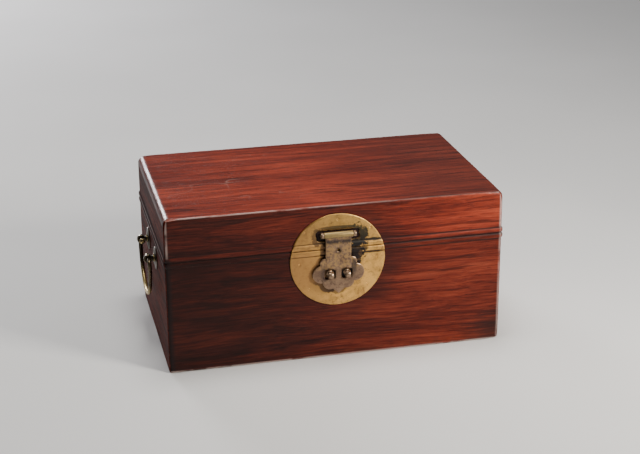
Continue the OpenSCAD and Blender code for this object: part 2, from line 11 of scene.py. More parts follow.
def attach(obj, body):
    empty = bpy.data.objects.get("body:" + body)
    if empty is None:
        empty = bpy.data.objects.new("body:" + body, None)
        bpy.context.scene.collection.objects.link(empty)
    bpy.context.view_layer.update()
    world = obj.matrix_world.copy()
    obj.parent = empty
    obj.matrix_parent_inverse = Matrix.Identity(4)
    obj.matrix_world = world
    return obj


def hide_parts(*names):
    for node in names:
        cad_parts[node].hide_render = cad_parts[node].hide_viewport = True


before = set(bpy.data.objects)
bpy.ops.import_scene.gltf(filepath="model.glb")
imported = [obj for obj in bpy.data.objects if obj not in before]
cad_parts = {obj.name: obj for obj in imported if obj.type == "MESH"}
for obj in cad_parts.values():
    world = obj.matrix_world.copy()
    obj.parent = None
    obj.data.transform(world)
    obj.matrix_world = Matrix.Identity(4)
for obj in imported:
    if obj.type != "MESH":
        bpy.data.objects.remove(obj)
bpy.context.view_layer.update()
link = bpy.context.scene.collection.objects.link

# ---- sizes, in millimetres, as in the CAD but for the plate's smaller window
MM = 0.001
HALF_W, HALF_D = 175.0, 105.0
SEAM, TOP, WALL = 120.0, 166.0, 11.0
BEAD_H, BEAD_OUT = 6.0, 1.3
BEAD_R = (BEAD_H ** 2 / 4 + BEAD_OUT ** 2) / (2 * BEAD_OUT)
TONGUE_D, TONGUE_H, RABBET_D, RABBET_H = 6.0, 3.0, 5.6, 3.4
FLOOR_T, GROOVE_Z, GROOVE_IN, GROOVE_GAP = 9.0, 4.0, 5.0, 0.2
CORNER_R, END_R, LONG_R, FOOT_R = 3.0, 7.0, 2.5, 1.2

SHEET, HAIR, EDGE_GAP = 1.2, 0.05, 0.15
PLATE_R, PLATE_Z = 49.3, SEAM - 12.2
WINDOW = (22.2, SEAM + 8.6, SEAM + 20.0)
PLATE_OUT = HAIR + SHEET

HASP_Z, HASP_OUT, ROLL_R, ROLL_HALF = SEAM + 15.8, 4.15, 3.6, 15.0
STRAP_BACK, HASP_T = 3.05, 1.8
STRAP_HALF, STRAP_LOW, NAIL_HOLE_DROP = 13.2, 20.3, 0.5
CLOUD_LOBES = ((14.0, -14.2, 5.2), (17.4, -26.0, 9.4), (8.8, -35.2, 7.4), (0.0, -38.0, 7.2))
CLOUD_TIP = ((1.5, -46.1), (0.5, -47.2))
TIP_HALF = 3.6
HASP_PIN_R, STAPLE_X, STAPLE_W = 1.3, 16.7, 3.0
EYE_X, EYE_Z, EYE_OUT, EYE_HOLE, EYE_W = 8.8, SEAM - 26.2, 7.4, 2.2, 5.5
SLOT_W, SLOT_H = 11.5, 10.0

BAIL_Z, POST_Y, STAND_OFF, ROD_R = 97.0, 29.0, 8.0, 2.2
BAIL_HALF, BAIL_DROP, BEND_R = 41.0, 47.0, 5.0
POST_R, POST_W = 4.8, 4.5

HINGE_X, HINGE_R, KNUCKLE_R, HINGE_PIN_R = 105.0, 23.0, 2.9, 1.4
BARREL_HALF, BARREL_OUT, INNER_HALF = 15.0, 4.6, 6.0
SHANK, PRONG_HALF, PRONG_T, WASHER_T, WASHER_HALF = 3.0, 9.5, 1.5, 0.8, 6.0
SIDES = ((-1, "left"), (1, "right"))


def clamp(v, low, high):
    return max(low, min(high, v))


def smooth(v, low, high):
    t = clamp((v - low) / (high - low), 0.0, 1.0)
    return t * t * (3 - 2 * t)


def lerp(a, b, t):
    return a + (b - a) * t


def wobble(p, size, seed=0.0):
    """Smooth noise from -1 to 1 at a point in millimetres, with features of about that size."""
    return noise.noise(Vector(p) / size + Vector((seed, 1.7 * seed, -seed)))


# ---- pieces
def piece(node, shape, body, material, sharp=38.0):
    """Puts one visible piece, drawn in millimetres, on its CAD body in place of its CAD node."""
    name = "look_" + node
    mesh = bpy.data.meshes.new(name)
    mesh.from_pydata([tuple(c * MM for c in v) for v in shape.verts], [], shape.faces)
    bm = bmesh.new()
    bm.from_mesh(mesh)
    bmesh.ops.remove_doubles(bm, verts=bm.verts, dist=1e-6)
    bmesh.ops.recalc_face_normals(bm, faces=bm.faces)
    bm.to_mesh(mesh)
    bm.free()
    mesh.polygons.foreach_set("use_smooth", [True] * len(mesh.polygons))
    mesh.set_sharp_from_angle(angle=math.radians(sharp))
    mesh.materials.append(material)
    obj = bpy.data.objects.new(name, mesh)
    link(obj)
    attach(obj, body)
    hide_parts(node)


class Shape:
    """Points and faces gathered from several parts of one piece."""

    def __init__(self, verts=(), faces=()):
        self.verts = [tuple(v) for v in verts]
        self.faces = [tuple(f) for f in faces]

    def join(self, other):
        base = len(self.verts)
        self.verts += other.verts
        self.faces += [tuple(base + i for i in f) for f in other.faces]
        return self

    def moved(self, to):
        self.verts = [tuple(to(Vector(v))) for v in self.verts]
        return self

    def shift(self, x, y, z):
        return self.moved(lambda v: Vector((v.x + x, v.y + y, v.z + z)))


def grid_faces(rows, cols, wrap_rows=False, wrap_cols=False):
    """Faces between rows of points that are cols long."""
    faces = []
    for i in range(rows if wrap_rows else rows - 1):
        low, high = i * cols, (i + 1) % rows * cols
        for j in range(cols if wrap_cols else cols - 1):
            k = (j + 1) % cols
            faces.append((low + j, low + k, high + k, high + j))
    return faces


def caps(rows, cols):
    """The two end faces of a stack of closed rings."""
    return [tuple(range(cols)), tuple(reversed(range((rows - 1) * cols, rows * cols)))]


def lathe(profile, segs, closed=False, rough=0.0, seed=0.0):
    """Turns (along, radius) points about X. A closed profile makes a ring, an open one gets caps."""
    verts = []
    for s, r in profile:
        for k in range(segs):
            a = 2 * math.pi * k / segs
            e = rough * wobble((s, 3 * math.cos(a), 3 * math.sin(a)), 2.5, seed) if rough else 0.0
            verts.append((s, (r + e) * math.cos(a), (r + e) * math.sin(a)))
    faces = grid_faces(len(profile), segs, wrap_rows=closed, wrap_cols=True)
    if not closed:
        faces += caps(len(profile), segs)
    return Shape(verts, faces)


def ring_profile(half, inner, outer, edge, steps=4):
    """Section of a ring along its axis: a rectangle with rounded corners."""
    out = []
    corners = ((half, outer, 0), (-half, outer, 90), (-half, inner, 180), (half, inner, 270))
    for s, r, start in corners:
        cs, cr = s - math.copysign(edge, s), (r - edge if r == outer else r + edge)
        for k in range(steps + 1):
            a = math.radians(start + 90 * k / steps)
            out.append((cs + edge * math.cos(a), cr + edge * math.sin(a)))
    return out


def to_y(v):
    """Turns what was drawn along X so that it lies along Y."""
    return Vector((-v.y, v.x, v.z))


def tube(path, radii, sides):
    """A round rod along a path in a plane of X and Z, with its own radius at each point."""
    verts, n = [], len(path)
    up = Vector((0, 1, 0))
    for i, p in enumerate(path):
        t = (path[min(i + 1, n - 1)] - path[max(i - 1, 0)]).normalized()
        side = t.cross(up).normalized()
        top = side.cross(t)
        for k in range(sides):
            a = 2 * math.pi * k / sides
            verts.append(p + (side * math.cos(a) + top * math.sin(a)) * radii[i])
    return Shape(verts, grid_faces(n, sides, wrap_cols=True) + caps(n, sides))


def towards(v, middle, by):
    return v - math.copysign(min(by, abs(v - middle)), v - middle)


def prism(points, y0, y1, edge=0.0):
    """A flat outline of X and Z made solid between two depths, its front edge eased."""
    n = len(points)
    cx, cz = sum(p[0] for p in points) / n, sum(p[1] for p in points) / n
    verts = [(x, y1, z) for x, z in points] + [(x, y0 + edge, z) for x, z in points]
    verts += [(towards(x, cx, edge), y0, towards(z, cz, edge)) for x, z in points]
    return Shape(verts, caps(3, n) + grid_faces(3, n, wrap_cols=True))


# ---- boards
def steps_from_end(half, fine, pitch):
    """Places from -1 to 1 along a board, close together at its ends."""
    middle = half - fine[-1]
    count = max(1, round(2 * middle / pitch))
    left = [e - half for e in fine]
    mid = [-middle + 2 * middle * k / count for k in range(1, count)]
    return [x / half for x in left + mid + [-x for x in reversed(left)]]


ALONG = steps_from_end(HALF_W, (0, .3, .7, 1.2, 1.8, 2.5, 3.4, 4.5, 5.8, 7.2, 9.5, 13, 17), 4.0)
ACROSS = steps_from_end(HALF_D, (0, .25, .55, .9, 1.3, 1.8, 2.5, 3.4, 4.6, 6.2, 9, 13, 17), 4.0)


def bead(z, low):
    """How far the bead that starts at the height low stands out at the height z."""
    d = z - low - BEAD_H / 2
    return max(0.0, math.sqrt(max(0.0, BEAD_R ** 2 - d * d)) + BEAD_OUT - BEAD_R)


def eased(p, lid):
    """Where a point of the sharp-cornered body or lid lies once its edges are rounded and worn."""
    x, y, z = p
    out = bead(z, SEAM if lid else SEAM - BEAD_H)
    x *= (HALF_W + out) / HALF_W
    y *= (HALF_D + out) / HALF_D
    near_end = smooth(abs(x), HALF_W - 20, HALF_W - 5)
    if lid:
        high = smooth(z, TOP - 15, TOP - 4)
        rx, ry = lerp(CORNER_R, END_R, high), lerp(CORNER_R, LONG_R + 1.0 * near_end, high)
        rz = lerp(LONG_R, END_R, near_end)
        core_z = min(z, TOP - rz)
    else:
        rx = ry = CORNER_R
        # the front's lower right corner is worn rounder
        corner = smooth(x, HALF_W - 14, HALF_W) * smooth(-y, HALF_D - 14, HALF_D) * (1 - smooth(z, 2, 14))
        rx, ry = rx + 1.6 * corner, ry + 1.2 * corner
        rz = FOOT_R + 1.6 * corner
        core_z = max(z, rz)
    flat_x, flat_y = HALF_W - rx, HALF_D - ry
    rx, ry = rx + out, ry + out
    core = Vector((clamp(x, -flat_x, flat_x), clamp(y, -flat_y, flat_y), core_z))
    q = Vector((x, y, z)) - core
    parts = Vector((q.x / rx, q.y / ry, q.z / rz))
    size = parts.length
    if size < 1e-9:
        return core
    q = q / size
    share = sorted((abs(c) / size for c in parts), reverse=True)
    edge = smooth(share[1], 0.15, 0.6)
    worn = 0.16 * wobble(p, 46, 3.0) + 0.05 * wobble(p, 13, 8.0)
    worn -= edge * (0.1 + 0.22 * max(0.0, wobble(p, 9, 5.0)) + 0.35 * max(0.0, wobble(p, 21, 11.0) - 0.25))
    worn = clamp(worn, -0.8, 0.16) * smooth(out, 1.2, 0.0)
    return core + q * (1 + (worn - 0.12) / q.length)


def wall_point(end, s, t, row, lid):
    """A point of the left (s = -1) or right end, or else of the front (s = -1) or back; t is -1 to 1."""
    kind, d, z = row
    x, y = HALF_W - d, HALF_D - d
    p = (s * x, y * t, z) if end else (x * t, s * y, z)
    return eased(p, lid) if kind == "skin" else p


def spread(low, high, pitch):
    n = max(1, round((high - low) / pitch))
    return [low + (high - low) * k / n for k in range(n + 1)]


BEAD_STEPS = (0, .04, .12, .22, .35, .5, .65, .78, .88, .96, 1)
# The sections of the boards: outside or inside, depth from the outside, height.
BODY_SKIN = [0, .25, .55, .95, 1.5, 2.4, 4] + spread(7, 110, 4.0) + [112, 113.3, 113.9]
BODY_SKIN += [SEAM - BEAD_H + BEAD_H * k for k in BEAD_STEPS[:-1]] + [SEAM - 0.06]
BODY_ROWS = [("skin", d, 0.0) for d in (2.6, 1.6, 1.0, 0.5, 0.2)] + [("skin", 0.0, z) for z in BODY_SKIN]
BODY_ROWS += [("in", d, z) for d, z in (
    (0.35, SEAM), (TONGUE_D - .2, SEAM), (TONGUE_D, SEAM + .15), (TONGUE_D, SEAM + TONGUE_H - .4),
    (TONGUE_D + .4, SEAM + TONGUE_H), (WALL - .4, SEAM + TONGUE_H), (WALL, SEAM + TONGUE_H - .4),
    (WALL, 90), (WALL, 60), (WALL, 30), (WALL, FLOOR_T), (WALL - GROOVE_IN, FLOOR_T),
    (WALL - GROOVE_IN, GROOVE_Z), (WALL, GROOVE_Z), (WALL, 0.3), (WALL - .3, 0.0),
)]
LID_SKIN = [SEAM + 0.06] + [SEAM + BEAD_H * k for k in BEAD_STEPS[1:]] + [SEAM + z for z in (6.1, 6.7, 8)]
LID_SKIN += spread(SEAM + 11, TOP - 15, 3.5)
LID_SKIN += [TOP - e for e in (12.5, 10.5, 8.8, 7.2, 5.8, 4.5, 3.4, 2.5, 1.8, 1.2, .7, .3, 0)]
LID_ROWS = [("in", 5.3, SEAM), ("in", 0.35, SEAM)] + [("skin", 0.0, z) for z in LID_SKIN]
LID_ROWS += [("in", WALL, z) for z in (TOP - WALL, 145, 134, SEAM + RABBET_H)]
LID_ROWS += [("in", RABBET_D, SEAM + RABBET_H), ("in", RABBET_D, SEAM + .3)]


def board(name, end, s, lid, material):
    rows, places = LID_ROWS if lid else BODY_ROWS, ACROSS if end else ALONG
    verts = [wall_point(end, s, t, row, lid) for row in rows for t in places]
    n, m = len(rows), len(places)
    faces = grid_faces(n, m, wrap_rows=True)
    faces.append(tuple(i * m for i in range(n)))
    faces.append(tuple(i * m + m - 1 for i in reversed(range(n))))
    piece(name, Shape(verts, faces), "lid" if lid else "box", material, 32)


def top_board(material):
    verts = [eased((HALF_W * t, HALF_D * u, TOP), True) for u in ACROSS for t in ALONG]
    n, m = len(ACROSS), len(ALONG)
    faces = grid_faces(n, m)
    rim = list(range(m)) + [i * m + m - 1 for i in range(1, n)]
    rim += [(n - 1) * m + j for j in reversed(range(m - 1))] + [i * m for i in reversed(range(1, n - 1))]
    outer = rim
    for inset in (0.0, 1.5, 6.0):
        low = range(len(verts), len(verts) + len(rim))
        hx, hy = HALF_W - WALL - inset, HALF_D - WALL - inset
        verts += [(hx * ALONG[i % m], hy * ACROSS[i // m], TOP - WALL) for i in rim]
        for k in range(len(rim)):
            j = (k + 1) % len(rim)
            faces.append((outer[k], outer[j], low[j], low[k]))
        outer = low
    faces.append(tuple(reversed(outer)))
    piece("lid_top", Shape(verts, faces), "lid", material, 32)


def bottom_board(material):
    x, y = HALF_W - WALL - GROOVE_GAP, HALF_D - WALL - GROOVE_GAP
    high, low, grip = FLOOR_T - GROOVE_GAP, GROOVE_Z + GROOVE_GAP, GROOVE_IN
    # how far each ring of points lies outside the opening, and its height
    rings = ((-6, 0), (-1.2, 0), (-.4, 0), (0, .4), (0, low), (grip, low), (grip, high), (.1, high),
            (-.5, high), (-6, high))
    along, across = spread(-1, 1, 0.05), spread(-1, 1, 0.08)
    loop = ([(t, -1) for t in along[:-1]] + [(1, t) for t in across[:-1]]
            + [(-t, 1) for t in along[:-1]] + [(-1, -t) for t in across[:-1]])
    verts, m = [], len(loop)
    for out, z in rings:
        verts += [((x + out) * t, (y + out) * u, z) for t, u in loop]
    faces = grid_faces(len(rings), m, wrap_cols=True) + caps(len(rings), m)
    piece("body_bottom", Shape(verts, faces), "box", material, 32)


# ---- sheet metal
def inside(p, loop):
    hit, n = False, len(loop)
    for i in range(n):
        (x1, z1), (x2, z2) = loop[i], loop[(i + 1) % n]
        if (z1 > p[1]) != (z2 > p[1]) and p[0] < (x2 - x1) * (p[1] - z1) / (z2 - z1) + x1:
            hit = not hit
    return hit


def shrunk(loop, by):
    """The loop moved to its left by that much, which is inwards on one drawn anticlockwise."""
    n, out = len(loop), []
    for i in range(n):
        a, b, c = Vector(loop[i - 1]), Vector(loop[i]), Vector(loop[(i + 1) % n])
        u, v = (b - a).normalized(), (c - b).normalized()
        nu, nv = Vector((-u.y, u.x)), Vector((-v.y, v.x))
        m = nu + nv
        m = m.normalized() if m.length > 1e-6 else nu
        out.append(tuple(b + m * by / max(0.5, m.dot(nv))))
    return out


def resampled(points, pitch):
    """The closed loop with a point about every pitch along it, keeping its own corners."""
    out, n = [], len(points)
    for i in range(n):
        a, b = Vector(points[i]), Vector(points[(i + 1) % n])
        k = max(1, round((b - a).length / pitch))
        out += [tuple(a.lerp(b, j / k)) for j in range(k)]
    return out


def sheet(outline, holes, front, back, edge, lines, pitch):
    """A sheet cut to an outline drawn anticlockwise, with holes drawn clockwise.
    front(x, z) and back(x, z) say how far its faces stand out; lines are heights of extra rows."""
    loops = [outline] + holes
    rims = [shrunk(loop, edge) for loop in loops]
    far = [shrunk(loop, edge * 2.4) for loop in loops]
    points, edges = [], []
    for loop in loops + rims:
        base = len(points)
        points += loop
        edges += [(base + i, base + (i + 1) % len(loop)) for i in range(len(loop))]
    xs, zs = [p[0] for p in outline], [p[1] for p in outline]
    rows = sorted({round(z, 3) for z in spread(min(zs), max(zs), pitch) + lines})
    rows = [z for z in rows if z in lines or all(abs(z - w) > 0.3 * pitch for w in lines)]
    for i, z in enumerate(rows):
        for x in spread(min(xs), max(xs), pitch):
            p = (x + (0.5 * pitch if i % 2 else 0.0), z)
            if inside(p, far[0]) and not any(inside(p, f) for f in far[1:]):
                points.append(p)
    co, _, triangles, origins, _, _ = delaunay_2d_cdt([Vector(p) for p in points], edges, [], 0, 1e-5)
    on_rim = sum(len(loop) for loop in loops)
    rim = {i for i, old in enumerate(origins) if any(o < on_rim for o in old)}

    def covered(triangle):
        c = sum((co[i] for i in triangle), Vector((0, 0))) / 3
        return inside(c, outline) and not any(inside(c, h) for h in holes)

    keep = [tuple(t) for t in triangles if covered(t)]
    n = len(co)
    eased_rim = [edge * 0.9 if i in rim else 0 for i in range(n)]
    verts = [(c.x, -HALF_D - front(c.x, c.y) + e, c.y) for c, e in zip(co, eased_rim)]
    verts += [(c.x, -HALF_D - back(c.x, c.y), c.y) for c in co]
    faces = keep + [tuple(n + i for i in reversed(t)) for t in keep]
    sides = [side for t in keep for side in zip(t, t[1:] + t[:1])]
    known = set(sides)
    faces += [(b, a, n + a, n + b) for a, b in sides if (b, a) not in known]
    used = sorted({i for f in faces for i in f})
    index = {v: k for k, v in enumerate(used)}
    return Shape([verts[v] for v in used], [[index[i] for i in f] for f in faces])


def formed(side, gap):
    """How far sheet brass pressed over the bead on one side of the seam stands out, gap from the wood."""
    def at(x, z):
        d = side * (z - SEAM) - BEAD_H / 2
        r = BEAD_R + gap
        over = BEAD_OUT - BEAD_R + math.sqrt(r * r - d * d) if abs(d) < r else 0.0
        return max(gap, over)
    return at


def beaten(f, seed, deep):
    """The same face with the shallow dents of hand-beaten metal."""
    def at(x, z):
        return f(x, z) + deep * (wobble((x, 0, z), 17, seed) + 0.4 * wobble((x, 0, z), 6, seed + 2) - 0.3)
    return at


def arc(cx, cz, r, a0, a1, pitch, rough=0.0):
    n = max(3, round(abs(math.radians(a1 - a0)) * r / pitch))
    out = []
    for k in range(n + 1):
        a = math.radians(a0 + (a1 - a0) * k / n)
        e = rough * wobble((9 * math.cos(a), 9 * math.sin(a), r), 2.2, 4.0)
        out.append((cx + (r + e) * math.cos(a), cz + (r + e) * math.sin(a)))
    return out


def round_hole(cx, cz, r):
    return list(reversed(arc(cx, cz, r, 0, 360, 0.5)[:-1]))


def box_hole(x0, x1, z0, z1, r, pitch):
    pts = []
    corners = ((x1 - r, z1 - r), (x0 + r, z1 - r), (x0 + r, z0 + r), (x1 - r, z0 + r))
    for k, (cx, cz) in enumerate(corners):
        pts += arc(cx, cz, r, 90 * k, 90 * k + 90, min(pitch, max(0.2, r / 2)))
    return list(reversed(resampled(pts, pitch)))


def half_circle(side, r, cz, pitch, rough):
    """The part of a circle on one side of the seam, drawn anticlockwise."""
    a = math.degrees(math.asin((SEAM + side * EDGE_GAP - cz) / r))
    start, end = (a, 180 - a) if side > 0 else (180 - a, 360 + a)
    return arc(0, cz, r, start, end, pitch, rough)


def bead_lines(side):
    steps = (.5, 1.0, 1.7, 2.4, 3.0, 3.6, 4.3, 5.0, 5.6, 6.1, 6.5, 6.9, 7.6)
    return [round(SEAM + side * v, 3) for v in steps]


def driven(x, z):
    """From a nail drawn along X, head last, to its place in the front."""
    return lambda v: Vector((x - v.y, -HALF_D - v.x, z + v.z))


PINS = {1: ((-34, 20), (34, 20), (0, 31)), -1: ((-40, -14), (40, -14), (-30, -42), (30, -42))}


def lock_plate(side, holes, material):
    """The upper (side = 1) or lower half of the lock plate and its pins."""
    half, body = ("upper", "lid") if side > 0 else ("lower", "box")
    outline = resampled(half_circle(side, PLATE_R - 0.1, PLATE_Z, 1.3, 0.12), 1.5)
    holes = holes + [round_hole(x, SEAM + z, 0.9) for x, z in PINS[side]]
    front = beaten(formed(side, PLATE_OUT), 1.0 if side > 0 else 6.0, 0.09)
    shape = sheet(outline, holes, front, formed(side, HAIR), 0.3, bead_lines(side), 2.2)
    piece("lock_plate_" + half, shape, body, material, 50)
    heads = Shape()
    for x, z in PINS[side]:
        out = formed(side, PLATE_OUT)(x, SEAM + z)
        pin = [(-6.2, .1), (-5.6, .8)]
        pin += [(out + e, r) for e, r in ((-.05, .8), (.1, .62), (.14, .3), (.15, .05))]
        heads.join(lathe(pin, 14).moved(driven(x, SEAM + z)))
    piece(half + "_plate_pins", heads, body, material)


def both_plates(material):
    """The upper half has a ragged window behind the hasp's roll, the lower one the eyelets' holes."""
    half_w, low, high = WINDOW
    window = [(x + 1.1 * wobble((x, 0, z), 4.5, 31.0), z + 0.5 * wobble((x, 0, z), 4.0, 37.0))
            for x, z in box_hole(-half_w, half_w, low, high, 3.0, 1.0)]
    lock_plate(1, [window], material)
    m = SHANK / 2 + HAIR
    mortises = [box_hole(x - m, x + m, EYE_Z - m, EYE_Z + m, 0.3, 1.0) for x in (-EYE_X, EYE_X)]
    lock_plate(-1, mortises, material)


# ---- clinched shanks
def clinch(start):
    """A square shank that starts that far in front of the board, with its ends spread inside, along +Y."""
    h, top = SHANK / 2, WALL + WASHER_T + PRONG_T
    shape = prism([(-h, -h), (h, -h), (h, h), (-h, h)], -start, WALL + WASHER_T + 0.2)
    for s in (-1, 1):
        outline = [(-h, 0.05), (h, 0.05), (h, PRONG_HALF - 3), (0.25, PRONG_HALF), (-0.25, PRONG_HALF),
                (-h, PRONG_HALF - 3)]
        leg = prism(outline, 0, PRONG_T, 0.25)
        # a prong's point is bent towards the washer
        leg.moved(lambda v, s=s: Vector((s * v.x, top - v.y - 0.12 * (v.z > 6), s * v.z)))
        shape.join(leg)
    return shape


def washer():
    """A square washer inside the wall, with a square hole for the shank."""
    low, high, wide, hole = WALL, WALL + WASHER_T, WASHER_HALF, SHANK / 2 + HAIR
    rings = ((wide, low), (wide, high - .2), (wide - .25, high), (hole, high), (hole, low))
    verts = [(a * x, y, a * z) for a, y in rings for x, z in ((-1, -1), (1, -1), (1, 1), (-1, 1))]
    return Shape(verts, grid_faces(5, 4, wrap_rows=True, wrap_cols=True))


def on_end(s, y, z):
    """From a piece drawn on the front face to the left end (-1) or the right end (1), y along the end."""
    return lambda v: Vector((s * HALF_W - s * v.y, y + s * v.x, z + v.z))


# ---- hasp
def meet(c1, c2, pick):
    """Where two circles cross, the point that pick puts first."""
    (x1, z1, r1), (x2, z2, r2) = c1, c2
    d = math.hypot(x2 - x1, z2 - z1)
    a = (r1 * r1 - r2 * r2 + d * d) / (2 * d)
    h = math.sqrt(max(0.0, r1 * r1 - a * a))
    mx, mz = x1 + a * (x2 - x1) / d, z1 + a * (z2 - z1) / d
    both = [(mx + s * h * (z2 - z1) / d, mz - s * h * (x2 - x1) / d) for s in (-1, 1)]
    return min(both, key=pick)


def hasp_outline():
    """The strap and its cloud-shaped end, anticlockwise, from the top of the strap down the left side."""
    a, b, c, d = CLOUD_LOBES
    start = (STRAP_HALF, a[1] + math.sqrt(a[2] ** 2 - (STRAP_HALF - a[0]) ** 2))
    joins = [start, meet(a, b, lambda p: -p[0]), meet(b, c, lambda p: p[1]), meet(c, d, lambda p: p[1])]
    joins.append((TIP_HALF, d[1] - math.sqrt(d[2] ** 2 - TIP_HALF ** 2)))
    right = [(STRAP_HALF, 15.0)]
    for lobe, p, q in zip(CLOUD_LOBES, joins, joins[1:]):
        a0, a1 = [math.degrees(math.atan2(e[1] - lobe[1], e[0] - lobe[0])) for e in (p, q)]
        while a1 > a0:
            a1 -= 360
        right += arc(*lobe, a0, a1, 0.8)[0 if lobe is a else 1:]
    right += CLOUD_TIP
    loop = [(-x, z) for x, z in right] + list(reversed(right))
    return resampled([(x, SEAM + z) for x, z in loop], 0.9)


def raised_strap():
    """Outline of the part of the strap that is drawn proud of the cloud, anticlockwise."""
    low, w, top = SEAM - STRAP_LOW, STRAP_HALF - 0.15, SEAM + 14
    corner = [(w, low + 2.6), (w - .65, low + .9), (w - 1.85, low + .1), (9, low)]
    return [(-w, top)] + [(-x, z) for x, z in corner] + list(reversed(corner)) + [(w, top)]


def make_hasp(material):
    holes = [box_hole(x - SLOT_W / 2, x + SLOT_W / 2, EYE_Z - SLOT_H / 2, EYE_Z + SLOT_H / 2, 2.0, 0.9)
            for x in (-EYE_X, EYE_X)]
    holes.append(round_hole(0, SEAM - NAIL_HOLE_DROP, 1.6))
    face = STRAP_BACK + HASP_T
    shape = sheet(hasp_outline(), holes, beaten(lambda x, z: face, 13.0, 0.07), lambda x, z: STRAP_BACK,
            0.4, [], 1.6)
    hole = round_hole(0, SEAM - NAIL_HOLE_DROP, 1.75)
    shape.join(sheet(resampled(raised_strap(), 1.0), [hole], beaten(lambda x, z: face + 0.5, 17.0, 0.06),
            lambda x, z: face - 0.35, 0.28, [], 1.7))
    roll = lathe(ring_profile(ROLL_HALF - .05, HASP_PIN_R + 0.1, ROLL_R - 0.25, 0.45), 44, True, 0.12, 2.0)
    shape.join(roll.shift(0, -HALF_D - HASP_OUT, HASP_Z))
    piece("hasp", shape, "hasp_plate", material, 45)


def pair_on_front(name, body, shapes, x, z, material, inner):
    """Puts the left and the right of two shanked pieces on the front, with their washers inside."""
    rings = Shape()
    for (s, side), shape in zip(SIDES, shapes):
        piece(f"{name}_{side}", shape.shift(s * x, -HALF_D, z), body, material)
        rings.join(washer().shift(s * x, -HALF_D, z))
    piece(name + "_washers", rings, body, inner)


def make_staples(material, inner):
    eye = ring_profile(STAPLE_W / 2, HASP_PIN_R + HAIR, ROLL_R - 0.55, 0.6)
    shapes = [lathe(eye, 32, True, 0.05, s).shift(0, -HASP_OUT, 0).join(clinch(HASP_OUT - HASP_PIN_R - 0.5))
            for s, side in SIDES]
    pair_on_front("hasp_staple", "lid", shapes, STAPLE_X, HASP_Z, material, inner)
    end = STAPLE_X + STAPLE_W / 2 + 0.6
    tip = [(end, .3), (end - .25, 1.0), (end - .6, HASP_PIN_R)]
    pin = lathe([(-x, r) for x, r in tip] + list(reversed(tip)), 20)
    piece("hasp_pin", pin.shift(0, -HALF_D - HASP_OUT, HASP_Z), "lid", material)


def make_eyelets(material, inner):
    collar = [(-PLATE_OUT, 3.3), (-PLATE_OUT - .5, 3.35), (-PLATE_OUT - .95, 3.0), (-PLATE_OUT - 1.2, 2.3)]
    knob, shapes = [], []
    for k in range(24):
        across, out = math.cos(math.radians(15 * k)), math.sin(math.radians(15 * k))
        knob.append((EYE_W / 2 * across, 3.05 + (0.95 if out > 0 else 0.82) * out))
    for s, side in SIDES:
        shape = lathe(knob, 36, True, 0.06, 5 + s).shift(0, -EYE_OUT, 0).join(lathe(collar, 28).moved(to_y))
        shapes.append(shape.join(clinch(EYE_OUT - EYE_HOLE - 0.5)))
    pair_on_front("padlock_eyelet", "box", shapes, EYE_X, EYE_Z, material, inner)


# ---- end handles
def bail_path():
    """Points of the bail, across and up from its axis, from one inner end to the other."""
    inner = POST_Y - POST_W / 2 - 4 - ROD_R - 0.9
    right = [(inner + e, 0) for e in (0, .25, .8, 1.6, 2.6, 3.6, 4.5, 5.2, 6.0)]
    right += [(POST_Y + e, 0) for e in (-1, 2, 5)]
    for a in (math.radians(9 * k) for k in range(11)):
        right.append((BAIL_HALF - BEND_R + BEND_R * math.sin(a), BEND_R * math.cos(a) - BEND_R))
    for a in (math.radians(3 * k) for k in range(31)):
        right.append((BAIL_HALF * math.cos(a), BAIL_HALF - BAIL_DROP - BAIL_HALF * math.sin(a)))
    return right + [(-x, z) for x, z in reversed(right[:-1])]


def bail_radii(path):
    """A thickened knob at each end, and a rod that is slightly uneven and thickest at the grip."""
    n, out = len(path), []
    knob = (0.5, 1.8, 2.75, 3.1, 3.05, 2.7, 2.35, 2.18, 2.15)
    for i, (x, z) in enumerate(path):
        k = min(i, n - 1 - i)
        rod = ROD_R - 0.04 + 0.12 * smooth(-z, 20, 50) + 0.03 * wobble((x, 0, z), 7, 2.0)
        out.append(knob[k] if k < len(knob) else rod)
    return out


POST_STEM = ((-2.0, 4.2), (-2.15, 4.4), (-2.5, 4.35), (-2.9, 3.7), (-3.2, 3.1), (-4.0, 2.7), (-5.2, 2.6))
ROSETTE = ((0, 2.2), (0, 11.7), (-.35, 12), (-.75, 11.85), (-1.0, 11.1), (-.85, 10.3), (-1.0, 9.5),
        (-1.5, 8.4), (-1.85, 6.4), (-2.0, 5.4), (-2.0, 2.3))


def make_handles(bronze, dark, inner):
    rings, path = Shape(), bail_path()
    for s, side in SIDES:
        bail = tube([Vector((x, -STAND_OFF, z)) for x, z in path], bail_radii(path), 20)
        piece(side + "_bail", bail.moved(on_end(s, 0, BAIL_Z)), side + "_handle", bronze, 60)
        for sy, place in ((-1, "front"), (1, "rear")):
            there = on_end(s, sy * POST_Y, BAIL_Z)
            eye = ring_profile(POST_W / 2, ROD_R + .09, POST_R - .05, 0.9, 5)
            post = lathe(eye, 36, True, 0.05, s + sy).shift(0, -STAND_OFF, 0)
            post.join(lathe(POST_STEM, 28).moved(to_y)).join(clinch(2.0)).moved(there)
            piece(f"{side}_post_{place}", post, "box", bronze)
            rosette = lathe(ROSETTE, 48, True, 0.05, sy * POST_Y).moved(to_y).moved(there)
            piece(f"{side}_rosette_{place}", rosette, "box", dark, 50)
            rings.join(washer().moved(there))
    piece("handle_post_washers", rings, "box", inner)


